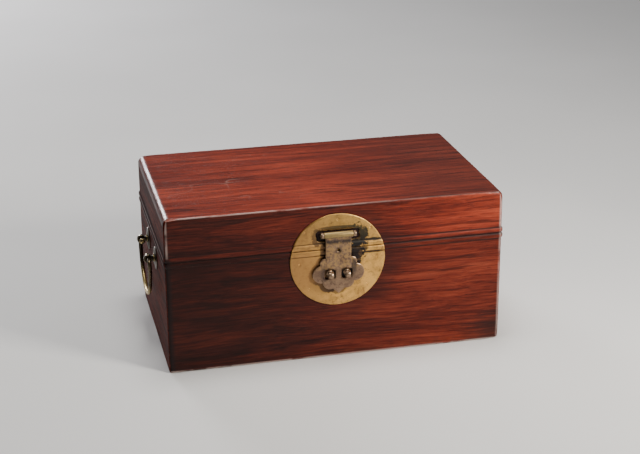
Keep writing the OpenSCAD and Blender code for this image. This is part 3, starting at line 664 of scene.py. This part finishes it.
# ---- hinges
NAILS = ((-14, 12.5), (14, 12.5), (0, 18))
HINGE_PIN_TIP = ((0, .4), (.3, 1.6), (.8, 2.1), (1.3, 2.0), (1.35, 1.4))
HINGE_NAIL = ((-6.3, .1), (-5.5, .82), (PLATE_OUT - .02, .82), (PLATE_OUT, 1.85), (PLATE_OUT + .25, 1.8),
        (PLATE_OUT + .6, 1.3), (PLATE_OUT + .82, .6), (PLATE_OUT + .86, .1))


def notched(side, spans):
    """Half a hinge plate, anticlockwise, with notches in its seam edge for the other leaf's knuckles."""
    z, deep = SEAM + side * EDGE_GAP, SEAM + side * 3.5
    edge = []
    for x0, x1 in spans:
        edge += [(x0, z), (x0, deep), (x1, deep), (x1, z)]
    around = half_circle(side, HINGE_R - 0.1, SEAM, 1.2, 0.1)
    return resampled(around + (edge if side > 0 else list(reversed(edge))), 1.3)


def knuckle(side, x0, x1):
    ring = ring_profile((x1 - x0) / 2, HINGE_PIN_R + .07, KNUCKLE_R - .03, 0.3)
    shape = lathe(ring, 32, True, 0.03, x0).shift((x0 + x1) / 2, -HALF_D - BARREL_OUT, SEAM)
    web = prism([(x0, .3), (x1, .3), (x1, 3.6), (x0, 3.6)], -BEAD_OUT - 1.85, -BEAD_OUT - 0.35, 0.2)
    web.moved(lambda v: Vector((v.x, v.y - HALF_D, SEAM + side * v.z)))
    return shape.join(web)


def leaf(side, seed):
    """The upper (side = 1) or lower leaf of a hinge, drawn on the front."""
    inner, outer = INNER_HALF + .2, BARREL_HALF + .2
    spans = [(-inner, inner)] if side < 0 else [(-outer, -INNER_HALF), (INNER_HALF, outer)]
    holes = [round_hole(x, SEAM + side * z, 0.95) for x, z in NAILS]
    shape = sheet(notched(side, spans), holes, beaten(formed(side, PLATE_OUT), seed, 0.06),
            formed(side, HAIR), 0.28, bead_lines(side), 1.9)
    if side > 0:
        return shape.join(knuckle(side, -INNER_HALF, INNER_HALF))
    return shape.join(knuckle(side, -BARREL_HALF, -inner)).join(knuckle(side, inner, BARREL_HALF))


def make_hinges(material):
    heads = {-1: Shape(), 1: Shape()}
    for s, place in SIDES:

        def to_back(v, x=s * HINGE_X):
            return Vector((v.x + x, -v.y, v.z))

        for side, name, body in ((-1, "lower", "box"), (1, "upper", "lid")):
            shape = leaf(side, 20.0 + s).moved(to_back)
            piece(f"hinge_{place}_{name}_leaf", shape, body, material, 50)
            for x, z in NAILS:
                head = lathe(HINGE_NAIL, 20, False, 0.04, x).moved(driven(x, SEAM + side * z))
                heads[side].join(head.moved(to_back))
        end = BARREL_HALF + 1.5
        tip = [(e - end, r) for e, r in HINGE_PIN_TIP]
        pin = lathe(tip + [(-x, r) for x, r in reversed(tip)], 22)
        pin.shift(0, -HALF_D - BARREL_OUT, SEAM).moved(to_back)
        piece(f"hinge_{place}_pin", pin, "box", material)
    piece("body_hinge_nails", heads[-1], "box", material)
    piece("lid_hinge_nails", heads[1], "lid", material)


# ---- materials
class Paint:
    """A short way to write node materials. x, y and z are in millimetres, noise cells are per metre."""

    def __init__(self, name, offset=(0, 0, 0)):
        self.material = bpy.data.materials.new(name)
        self.material.use_nodes = True
        self.tree = self.material.node_tree
        self.tree.nodes.clear()
        self.offset = offset
        self.bsdf = self.node("BsdfPrincipled")
        self.node("OutputMaterial", {"Surface": self.bsdf.outputs[0]})
        self.place = self.node("TexCoord").outputs["Object"]
        split = self.node("SeparateXYZ", {"Vector": self.place})
        self.x, self.y, self.z = [self.mul(c, 1 / MM) for c in split.outputs[:3]]

    def plug(self, socket, value):
        """Links a socket to another one, or sets it to a plain value."""
        if isinstance(value, bpy.types.NodeSocket):
            self.tree.links.new(value, socket)
        else:
            socket.default_value = value

    def node(self, kind, inputs=None, **settings):
        n = self.tree.nodes.new("ShaderNode" + kind)
        for k, v in settings.items():
            setattr(n, k, v)
        for k, v in (inputs or {}).items():
            self.plug(n.inputs[k], v)
        return n

    def finish(self, inputs):
        for k, v in inputs.items():
            self.plug(self.bsdf.inputs[k], v)
        return self.material

    def math(self, op, *values):
        """The operation on one value, or on the first two and then on that result and each further one."""
        total = values[0]
        for v in values[1:] or (0.0,):
            total = self.node("Math", {0: total, 1: v}, operation=op).outputs[0]
        return total

    def add(self, *values):
        return self.math("ADD", *values)

    def mul(self, *values):
        return self.math("MULTIPLY", *values)

    def most(self, *values):
        return self.math("MAXIMUM", *values)

    def minus(self, a, b):
        return self.math("SUBTRACT", a, b)

    def size(self, value):
        return self.math("ABSOLUTE", value)

    def vector(self, op, a, b):
        return self.node("VectorMath", {0: a, 1: b}, operation=op).outputs[0]

    def noise(self, cells, detail, rough, warp=0.0, start=None, turn=0, colour=False):
        """Noise with one number of cells or one for each axis; turn gives another part of the pattern."""
        cells = cells if isinstance(cells, tuple) else (cells, cells, cells)
        offset = self.offset[turn:] + self.offset[:turn]
        where = {"Vector": start or self.place, "Scale": cells, "Location": offset}
        pattern = {"Vector": self.node("Mapping", where).outputs[0], "Scale": 1.0, "Detail": detail,
                "Roughness": rough, "Distortion": warp}
        n = self.node("TexNoise", pattern)
        return n.outputs["Color" if colour else "Fac"]

    def ease(self, value, low, high, to_low=0.0, to_high=1.0):
        """Smoothly from to_low at low to to_high at high."""
        span = {"Value": value, "From Min": low, "From Max": high, "To Min": to_low, "To Max": to_high}
        return self.node("MapRange", span, interpolation_type="SMOOTHSTEP").outputs[0]

    def ramp(self, value, *stops):
        n = self.node("ValToRGB", {"Fac": value})
        e = n.color_ramp.elements
        while len(e) < len(stops):
            e.new(0.5)
        for spot, (at, colour) in zip(e, stops):
            spot.position = at
            spot.color = (*colour, 1)
        return n.outputs[0]

    def mix(self, share, a, b):
        n = self.node("Mix", data_type="RGBA")
        for k, v in ((0, share), (6, a), (7, b)):
            self.plug(n.inputs[k], (*v, 1) if isinstance(v, tuple) else v)
        return n.outputs[2]

    def coats(self, colour, *coats):
        """The colour under coats of (where, share, colour), the last one on top."""
        for where, share, coat in coats:
            colour = self.mix(self.mul(where, share), colour, coat)
        return colour

    def bump(self, height, depth, strength, normal=None):
        """Relief that is that many millimetres deep, on top of another one."""
        inputs = {"Height": height, "Distance": depth * MM, "Strength": strength}
        if normal:
            inputs["Normal"] = normal
        return self.node("Bump", inputs).outputs[0]

    def near(self, value, at, width):
        """1 where value is at, falling to 0 at width on either side."""
        return self.ease(self.size(self.minus(value, at)), width, 0.0)

    def spot(self, x, z, rx, rz, ragged=0.0, noise=None, soft=0.2):
        """1 inside a ragged-edged ellipse on the front, 0 outside."""
        dx, dz = self.minus(self.x, x), self.minus(self.z, z)
        dx, dz = self.math("DIVIDE", dx, rx), self.math("DIVIDE", dz, rz)
        d = self.math("SQRT", self.add(self.mul(dx, dx), self.mul(dz, dz)))
        if ragged:
            d = self.add(d, self.mul(self.minus(noise, 0.5), ragged))
        return self.ease(d, 1.0 + soft, 1.0 - soft)


# ---- rosewood
WOOD_STOPS = (
    (0.34, (0.016, 0.0031, 0.0026)), (0.43, (0.058, 0.0082, 0.005)), (0.51, (0.135, 0.0178, 0.0088)),
    (0.6, (0.24, 0.035, 0.016)), (0.74, (0.38, 0.074, 0.033)),
)
RAW_STOPS = ((0.36, (0.05, 0.02, 0.01)), (0.52, (0.125, 0.05, 0.024)), (0.68, (0.215, 0.1, 0.05)))
# The grime colour also paints shade.
VEIN, PORE, GRIME_AND_SHADE = (0.014, 0.0035, 0.0028), (0.012, 0.004, 0.003), (0.014, 0.0075, 0.0065)
# The dark edge colour is a painted dark reflection; the pale edge colour paints highlights as well as wear.
DARK_CORNER_REFLECTION, PALE_EDGE, RUBBED = (0.012, 0.0075, 0.0075), (0.52, 0.4, 0.36), (0.36, 0.15, 0.075)
SCRATCH, LONG_SCRATCH = (0.42, 0.22, 0.14), (0.46, 0.29, 0.24)


class Wood(Paint):
    """Paint with the patterns that a board's colour, gloss and relief share; its grain runs along X or Y."""

    def __init__(self, name, grain, seed):
        super().__init__(name, (seed * 3.1, seed * 7.7, seed * 5.3))
        self.grain = grain
        swayed = self.sway(self.place, 2.4, 9.0, 0.022)
        self.flow = self.sway(swayed, 11.0, 30.0, 0.007)
        self.streak = self.fibres(13.0, 330.0, 3.0, 0.66)
        self.fine = self.fibres(38.0, 900.0, 3.0, 0.72)
        self.pores = self.ease(self.fibres(95.0, 2100.0, 1.0, 0.4), 0.6, 0.72)
        self.cloud = self.noise(self.along(7.0, 16.0), 2.0, 0.5)
        self.grit = self.noise(38, 3.0, 0.6)

    def along(self, a, c):
        """One number for the grain's direction and one for the two across it."""
        return (a, c, c) if self.grain == "X" else (c, a, c)

    def sway(self, place, a, c, metres):
        """The place moved across the grain by soft noise."""
        way = self.noise(self.along(a, c), 2.0, 0.5, colour=True)
        way = self.vector("SUBTRACT", way, (0.5, 0.5, 0.5))
        return self.vector("ADD", place, self.vector("MULTIPLY", way, self.along(0.0, metres)))

    def fibres(self, a, c, detail, rough, turn=0):
        """Noise drawn out along the swaying grain."""
        return self.noise(self.along(a, c), detail, rough, start=self.flow, turn=turn)


def grain_figure(p, contrast, lift):
    """How light the grain is, about 0.5 in the middle."""
    rings = p.ease(p.math("SINE", p.mul(p.fibres(1.1, 17.0, 1.0, 0.45), 62.0)), -1.0, 1.0)
    broad = p.fibres(1.8, 40.0, 2.0, 0.55)
    parts = ((broad, 0.17), (p.streak, 0.34), (p.fine, 0.29), (rings, 0.04), (p.cloud, 0.16))
    figure = p.add(*[p.mul(part, share) for part, share in parts])
    return p.add(p.mul(p.minus(figure, 0.5), contrast), 0.5 + lift)


def seam_grime_and_shade(p):
    """Grime in the seam and round the foot, and painted shade in the grooves beside the beads."""
    seam = p.near(p.z, SEAM, 2.6)
    # painted shade: dark lines in the grooves beside the beads
    quirk = p.most(p.near(p.z, SEAM - BEAD_H - .1, 1.7), p.near(p.z, SEAM + BEAD_H + .1, 1.7))
    foot = p.mul(p.ease(p.z, 12, 0), p.ease(p.grit, 0.42, 0.62))
    return p.most(p.mul(seam, 0.96), p.mul(quirk, 0.9), p.mul(foot, 0.6))


def front_grime_and_shade(p):
    """Old handling round the lock, a knot left in the lid, a worn right foot, a left side darkened as
    painted shade, and the wood behind the lock's window painted almost black as grime with painted shade.
    """
    ring = p.spot(0, PLATE_Z, 68, 64, 0.5, p.grit)
    knot = p.spot(-128, 157.5, 42, 3.5, 1.5, p.streak)
    worn = p.spot(174, 8, 30, 21, 2.6, p.add(p.mul(p.streak, 0.6), p.mul(p.grit, 0.4)), 0.7)
    # painted shade: the front darker towards the left
    shade = p.ease(p.x, 120, -150)
    # grime with painted shade: the wood behind the hasp's roll almost black
    behind_lock = p.mul(p.math("LESS_THAN", p.size(p.x), 26.2), p.math("LESS_THAN", p.y, -103.8),
            p.near(p.z, 134.3, 9.5))
    return p.most(p.mul(ring, 0.45), p.mul(knot, 0.75), p.mul(worn, 0.75), p.mul(shade, 0.58),
            p.ease(behind_lock, 0.0, 0.12, 0.0, 0.97))


def front_wear_and_highlights(p, on_lid):
    """Edges worn pale, with painted highlights: the top one most at the left, the upright one at the right,
    and the foot.
    """
    # painted highlight with wear along the top edge, fading to the right
    crown = p.mul(p.ease(p.z, 164.0, 165.3), p.ease(p.x, 130, -100, 0.25, 1.0))
    upright = p.mul(p.near(p.size(p.x), 173.0, 2.3),
            p.most(p.mul(on_lid, 0.95), p.ease(p.x, -100, 100, 0.0, 0.55)))
    return p.most(crown, p.near(p.z, 1.2, 1.8), upright)


def top_wear_and_highlights(p):
    """The left and front edges of the top, worn pale, with painted highlights that fade towards the back and
    towards the right.
    """
    left = p.mul(p.ease(p.x, -168.5, -172.5), p.ease(p.y, 100, -90, 0.1, 0.6))
    front = p.mul(p.ease(p.y, -103.0, -104.2), p.ease(p.x, 130, -100, 0.15, 1.0))
    return p.most(left, front)


def wood(name, grain, seed, tone_and_light, contrast, lift=0.0, waxed=True, face=""):
    """Old rosewood; face says which marks it has: those of the front, of an end or of the top."""
    p = Wood("rosewood_" + name, grain, seed)
    front, end, top = [face == kind for kind in ("front", "end", "top")]
    figure = grain_figure(p, contrast, lift)
    veins = p.mul(p.ease(p.fibres(8.0, 340.0, 3.0, 0.6, 1), 0.56, 0.66), p.ease(p.cloud, 0.34, 0.6))
    dirt_and_shade, wear_and_highlights, corner, curve = seam_grime_and_shade(p), 0.0, 0.0, 0.0
    if front:
        # painted light: the front grows lighter towards the right
        figure = p.add(figure, p.ease(p.x, -130, 150, -0.035, 0.05))
        dirt_and_shade = p.most(dirt_and_shade, front_grime_and_shade(p))
        on_lid = p.ease(p.z, 123.5, 126.5)
        wear_and_highlights = front_wear_and_highlights(p, on_lid)
        # painted reflection: the body's left upright corner darkened
        corner = p.mul(p.ease(p.x, -167.5, -171.5), p.minus(1.0, on_lid))
    if top:
        # painted shade: the top darker towards the right
        dirt_and_shade = p.most(dirt_and_shade, p.ease(p.x, -30, 140, 0.0, 0.55))
        wear_and_highlights = top_wear_and_highlights(p)
        curve = p.near(p.noise((13, 21, 13), 1.0, 0.4, 0.8), 0.5, 0.007)
        curve = p.mul(curve, p.ease(p.cloud, 0.48, 0.56), p.ease(p.x, 20, -100))
    wear_and_highlights = p.mul(wear_and_highlights, p.ease(p.grit, 0.38, 0.54, 0.15, 1.0))

    # the inside was never waxed
    reach = p.most(p.minus(p.size(p.x), HALF_W - 10.7), p.minus(p.size(p.y), HALF_D - 10.7))
    within = p.mul(p.math("LESS_THAN", reach, 0.0), p.math("LESS_THAN", p.z, TOP - 10.5))
    edge = p.node("NewGeometry").outputs["Pointiness"]
    rubbed = p.mul(p.ease(edge, 0.53, 0.6), p.ease(p.grit, 0.35, 0.6))
    scratch = p.ease(p.noise(p.along(28.0, 260.0), 4.0, 0.7, 0.6, turn=2), 0.7, 0.78)
    # the dirt coat is grime with painted shade, the corner coat a painted dark reflection, the wear coat
    # wear with painted highlights
    colour = p.coats(
        p.ramp(figure, *[(at, tuple(tone_and_light * c for c in shade)) for at, shade in WOOD_STOPS]),
        (veins, 0.7, VEIN), (p.pores, 0.5, PORE), (dirt_and_shade, 1.0, GRIME_AND_SHADE), (corner, 0.8, DARK_CORNER_REFLECTION),
        (wear_and_highlights, 0.58, PALE_EDGE), (within, 0.8, p.ramp(figure, *RAW_STOPS)), (rubbed, 0.35, RUBBED),
        (scratch, 0.3, SCRATCH), (curve, 0.32, LONG_SCRATCH))

    gloss = p.add(0.31 if waxed else 0.5, p.mul(p.minus(p.cloud, 0.5), 0.24), p.mul(p.pores, 0.22),
            p.mul(dirt_and_shade, 0.22), p.mul(within, 0.28), p.mul(p.fine, 0.06), p.mul(wear_and_highlights, -0.12))
    if end:
        # the ends are duller than their top edge and the beads, which hands have polished
        polished = p.most(p.ease(p.z, 154.5, 160), p.near(p.size(p.minus(p.z, SEAM)), 3.4, 1.6))
        gloss = p.add(gloss, p.mul(p.minus(1.0, polished), 0.36))
    normal = p.bump(p.noise(p.along(9.0, 22.0), 2.0, 0.5), 1.6, 0.35)
    relief = p.add(p.mul(p.streak, 0.5), p.mul(p.fine, 0.35), p.mul(p.pores, -0.7))
    normal = p.bump(relief, 0.12, 0.8, normal)
    if top:
        # small knocks along the ends of the top
        knocks = p.mul(p.noise((80, 100, 80), 3.0, 0.6), p.ease(p.size(p.x), 158, 168))
        normal = p.bump(knocks, 1.0, 0.7, normal)
    return p.finish({
        "Base Color": colour, "Roughness": gloss, "Normal": normal, "Coat Roughness": 0.2,
        "Coat Weight": 0.03 if waxed else 0.0, "IOR": 1.3 if end else 1.42,
        "Specular IOR Level": 0.3 if top else 0.14,
    })


# ---- brass and bronze
# Black wax and verdigris round the hasp on the lock plate, and the hasp's shadow and shade painted on it.
# Each spot has its place across and its height, its half width and half height, how ragged and how soft its
# edge is, and its share.
WAX_AND_SHADOW, WAX_AND_SHADOW_SHARE, WAX_AND_SHADOW_MOST = (0.01, 0.011, 0.016), 1.08, 0.995
WAX_AND_SHADOW_SPOTS = (
    # left and right of the roll: black wax and painted shade in the window
    (-20, 133, 7.8, 9, 1.6, 0.12, 0.92), (21, 131.5, 10.8, 13, 1.8, 0.12, 0.95),
    # right of the strap, wax; along its left edge, the hasp's painted shadow
    (17.5, 113.5, 10, 13.5, 1.9, 0.12, 0.9), (-14.2, 118, 4.4, 16, 0.8, 0.15, 0.93),
    # the hasp's painted shadow round the cloud's lobes, from the top down
    (-15.2, 105.2, 7.6, 7.4, 0.7, 0.12, 0.9),
    (-18.8, 93, 11.7, 11.4, 0.5, 0.08, 0.93), (-10, 82.6, 10, 9.8, 0.5, 0.08, 0.92),
    (0, 78.4, 8.6, 8, 0.7, 0.1, 0.6),
    # above, below and on the beads at the right: wax, and painted shade in the grooves
    (35, 126.8, 13, 1.7, 1.4, 0.3, 0.9), (34, 113.6, 15, 1.5, 1.0, 0.3, 0.8),
    (27, 118, 4.8, 2.2, 1.4, 0.3, 0.8),
    # painted shade behind the hasp's slots
    (-8.8, 93.8, 7.2, 6.6, 0.0, 0.2, 0.93), (8.8, 93.8, 7.2, 6.6, 0.0, 0.2, 0.93),
)
# wider marks: painted shade at the lower left of the cloud, and a dark band just above the window
WIDE_WAX_AND_SHADE_SPOTS = ((-15, 87, 15, 15, 1.2, 0.2, 0.3), (0, 142.5, 20, 2, 1.0, 0.2, 0.85))
# Wax on the hasp: at the right and the left of the slots, and round the nail hole. Its colour also paints
# shade under the roll.
HASP_WAX_AND_SHADE = (0.022, 0.02, 0.024)
HASP_SPOTS = ((16, 101, 2.8, 7.8, 0.9, 0.5, 0.72), (-15, 94.5, 4, 7.5, 1.0, 0.5, 0.5),
        (0, 119, 3.2, 3.6, 0.8, 0.2, 0.6))


def plate_marks(p, colour, patch, blotch):
    """The lock plate: wax and the hasp's painted shadow round the hasp, brown stains, a left side darkened
    as painted shade, and black lines at the beads, painted shade in their grooves.
    """
    grit = p.noise(260, 4.0, 0.7)
    for noise, spots in ((grit, WAX_AND_SHADOW_SPOTS), (patch, WIDE_WAX_AND_SHADE_SPOTS)):
        for *ellipse, ragged, soft, share in spots:
            wax_and_shadow = p.mul(p.spot(*ellipse, ragged, noise, soft), share * WAX_AND_SHADOW_SHARE)
            colour = p.mix(p.math("MINIMUM", wax_and_shadow, WAX_AND_SHADOW_MOST), colour, WAX_AND_SHADOW)
    stain = p.ease(p.add(p.mul(patch, 0.6), p.mul(grit, 0.4)), 0.52, 0.6)
    warm = p.spot(-34, 100, 16, 20, 0.8, blotch)
    # painted shade: black lines in the grooves beside the beads, and the dark seam
    quirk = p.most(p.near(p.z, SEAM + 6.6, 0.8), p.near(p.z, SEAM - 6.6, 0.8), p.near(p.z, SEAM, 0.9))
    return p.coats(
        colour, (stain, 0.42, (0.21, 0.11, 0.045)), (warm, 0.45, (0.52, 0.26, 0.09)),
        (p.ease(p.z, 112, 152), 0.3, (0.2, 0.155, 0.06)),
        # painted shade: the plate darker towards the left
        (p.ease(p.x, 12, -46), 0.7, (0.29, 0.15, 0.055)), (quirk, 0.9, (0.018, 0.013, 0.01)))


def hasp_marks(p, colour, patch):
    """The hasp: a strap rubbed lighter than the cloud, black wax and painted shade under the roll, black wax
    round the slots.
    """
    grit = p.noise(330, 4.0, 0.7)
    strap = p.mul(p.ease(p.z, 98.5, 100.5), p.ease(grit, 0.56, 0.42))
    # painted shade with black wax under the roll
    under_roll = p.mul(p.near(p.z, 128.8, 4.2), p.ease(patch, 0.36, 0.5, 0.55, 1.0))
    colour = p.coats(
        colour, (p.ease(grit, 0.5, 0.6), 0.45, (0.085, 0.05, 0.04)), (strap, 0.75, (0.36, 0.215, 0.08)),
        (p.ease(p.z, 133.0, 134.5), 0.8, (0.3, 0.215, 0.08)), (under_roll, 0.9, HASP_WAX_AND_SHADE))
    for *ellipse, ragged, soft, share in HASP_SPOTS:
        colour = p.coats(colour, (p.spot(*ellipse, ragged, patch, soft), share, HASP_WAX_AND_SHADE))
    return colour


def metal(name, bright, dull, dark, seed, worn=0.55, shine=0.36, metallic=0.82, marks="", grip_gold_and_highlight=None):
    """Old copper alloy: bright where it is rubbed, dull brown-green elsewhere, dark in its corners.
    A bail is golden at its grip, polished there and painted with its highlight."""
    p = Paint(name, (seed * 2.3, seed * 4.1, seed * 6.7))
    blotch = p.noise(55, 4.0, 0.62)
    patch = p.noise(150, 4.0, 0.65, 0.4)
    speck = p.noise(900, 3.0, 0.6)
    hairs = p.most(p.ease(p.noise((60, 60, 1500), 2.0, 0.5, 0.3), 0.66, 0.74),
            p.ease(p.noise((1300, 60, 90), 2.0, 0.5, 0.3), 0.68, 0.76))
    tarnish = p.ease(p.add(p.mul(blotch, 0.6), p.mul(patch, 0.4)), 0.4, 0.64)
    colour = p.coats(p.mix(tarnish, bright, dull), (p.ease(patch, 0.6, 0.7), 0.55, dark),
            (p.ease(speck, 0.62, 0.72), 0.5, dark), (hairs, 0.35, dark))
    if marks == "plate":
        colour = plate_marks(p, colour, patch, blotch)
    if marks == "hasp":
        colour = hasp_marks(p, colour, patch)
    # the grip's gold is polish together with a painted highlight
    if grip_gold_and_highlight:
        colour = p.mix(p.ease(p.z, 72, 55), colour, grip_gold_and_highlight)
    edge = p.node("NewGeometry").outputs["Pointiness"]
    rubbed = p.ease(edge, 0.52, 0.6)
    shiny = tuple(min(1.0, c * 1.35) for c in (grip_gold_and_highlight or bright))
    colour = p.coats(colour, (p.ease(edge, 0.47, 0.38), 0.7, dark), (rubbed, worn, shiny))

    gloss = p.add(shine, p.mul(tarnish, 0.16), p.mul(p.minus(speck, 0.5), 0.18), p.mul(hairs, 0.1),
            p.mul(rubbed, -0.1))
    relief = p.add(p.mul(patch, 0.6), p.mul(speck, 0.25), p.mul(hairs, -0.4))
    normal = p.bump(relief, 0.16, 0.7, p.bump(blotch, 0.8, 0.35))
    return p.finish({"Base Color": colour, "Roughness": gloss, "Normal": normal, "Metallic": metallic})


# ---- build
# The tones paint light and shade: the top is the lightest, then the lid's front, and the left end and the
# body's front the darkest.
front_wood = wood("front", "X", 1.0, 0.56, 1.2, face="front")
lid_front_wood = wood("lid_front", "X", 2.3, 1.0, 1.1, face="front")
back_wood = wood("back", "X", 4.2, 0.8, 1.3)
left_wood = wood("left", "Y", 5.1, 0.62, 1.0, face="end")
right_wood = wood("right", "Y", 6.4, 0.8, 1.0, face="end")
top_wood = wood("top", "X", 8.6, 1.2, 1.0, 0.025, face="top")
base_wood = wood("base", "X", 9.9, 0.8, 0.9, waxed=False)

plate_brass = metal("plate_brass", (0.7, 0.39, 0.105), (0.46, 0.255, 0.07), (0.075, 0.04, 0.018), 1.0,
        metallic=0.9, marks="plate")
hasp_brass = metal("hasp_brass", (0.26, 0.165, 0.1), (0.15, 0.092, 0.06), (0.04, 0.026, 0.02), 2.0,
        0.85, marks="hasp")
eyelet_brass = metal("eyelet_brass", (0.28, 0.19, 0.12), (0.17, 0.11, 0.07), (0.04, 0.03, 0.02), 3.0,
        0.8, 0.3)
hinge_brass = metal("hinge_brass", (0.52, 0.36, 0.145), (0.3, 0.21, 0.085), (0.045, 0.03, 0.016), 4.0)
bronze = metal("handle_bronze", (0.09, 0.068, 0.042), (0.042, 0.033, 0.023), (0.012, 0.01, 0.009), 5.0,
        0.6, 0.26, grip_gold_and_highlight=(0.56, 0.42, 0.17))
rosette_bronze = metal("rosette_bronze", (0.085, 0.062, 0.038), (0.042, 0.032, 0.022), (0.012, 0.01, 0.009),
        6.0, 0.5, 0.34)
washer_brass = metal("washer_brass", (0.24, 0.17, 0.09), (0.13, 0.09, 0.05), (0.03, 0.02, 0.014), 7.0,
        0.5, 0.45)

for part, lid, front_look in (("body_", False, front_wood), ("lid_", True, lid_front_wood)):
    board(part + "front", False, -1, lid, front_look)
    board(part + "back", False, 1, lid, back_wood)
    board(part + "left", True, -1, lid, left_wood)
    board(part + "right", True, 1, lid, right_wood)
bottom_board(base_wood)
top_board(top_wood)
both_plates(plate_brass)
make_hasp(hasp_brass)
make_staples(eyelet_brass, washer_brass)
make_eyelets(eyelet_brass, washer_brass)
make_handles(bronze, rosette_bronze, washer_brass)
make_hinges(hinge_brass)

# ---- floor, light and camera
floor = bpy.data.meshes.new("floor")
floor.from_pydata([(-9, -9, 0), (9, -9, 0), (9, 9, 0), (-9, 9, 0)], [], [(0, 1, 2, 3)])
floor_paint = Paint("floor_paint")
floor_tone = floor_paint.noise(3, 2.0, 0.5)
floor_colour = floor_paint.ramp(floor_tone, (0.3, (0.66, 0.655, 0.645)), (0.7, (0.7, 0.695, 0.685)))
floor.materials.append(floor_paint.finish({"Base Color": floor_colour, "Roughness": 0.75}))
floor_object = bpy.data.objects.new("floor", floor)
link(floor_object)


def lamp(name, at, towards, size, watts, colour, spread=180):
    light = bpy.data.lights.new(name, "AREA")
    light.spread = math.radians(spread)
    light.shape, light.size, light.size_y = "RECTANGLE", *size
    light.energy, light.color = watts, colour
    obj = bpy.data.objects.new(name, light)
    obj.location = at
    obj.rotation_mode = "QUATERNION"
    obj.rotation_quaternion = (Vector(towards) - Vector(at)).to_track_quat("-Z", "Y")
    link(obj)


lamp("rim_back_left", (-0.75, 2.2, 0.85), (0, 0, 0.12), (0.6, 0.3), 32, (0.97, 0.96, 1.0))
lamp("top_soft", (-0.05, 0.05, 2.0), (0, 0, 0.1), (0.95, 0.55), 30, (1.0, 0.98, 0.95))
lamp("front_right", (0.78, -0.86, 0.66), (0.2, -0.1, 0.12), (0.3, 0.3), 6.0, (1.0, 0.95, 0.88), 90)

world = bpy.data.worlds.new("studio")
world.use_nodes = True
background = world.node_tree.nodes["Background"]
background.inputs["Color"].default_value = (0.8, 0.82, 0.85, 1)
background.inputs["Strength"].default_value = 0.13
bpy.context.scene.world = world

camera_data = bpy.data.cameras.new("camera")
camera_data.sensor_width, camera_data.lens = 36.0, 83.66
camera_data.clip_start, camera_data.clip_end = 0.05, 50
camera = bpy.data.objects.new("camera", camera_data)
camera.location = (-0.3308, -1.4585, 0.6714)
forward = Vector((0.21055, 0.9109, -0.35485))
camera.rotation_mode = "QUATERNION"
camera.rotation_quaternion = forward.to_track_quat("-Z", "Y") @ Quaternion((0, 0, 1), math.radians(-0.49))
link(camera)
bpy.context.scene.camera = camera
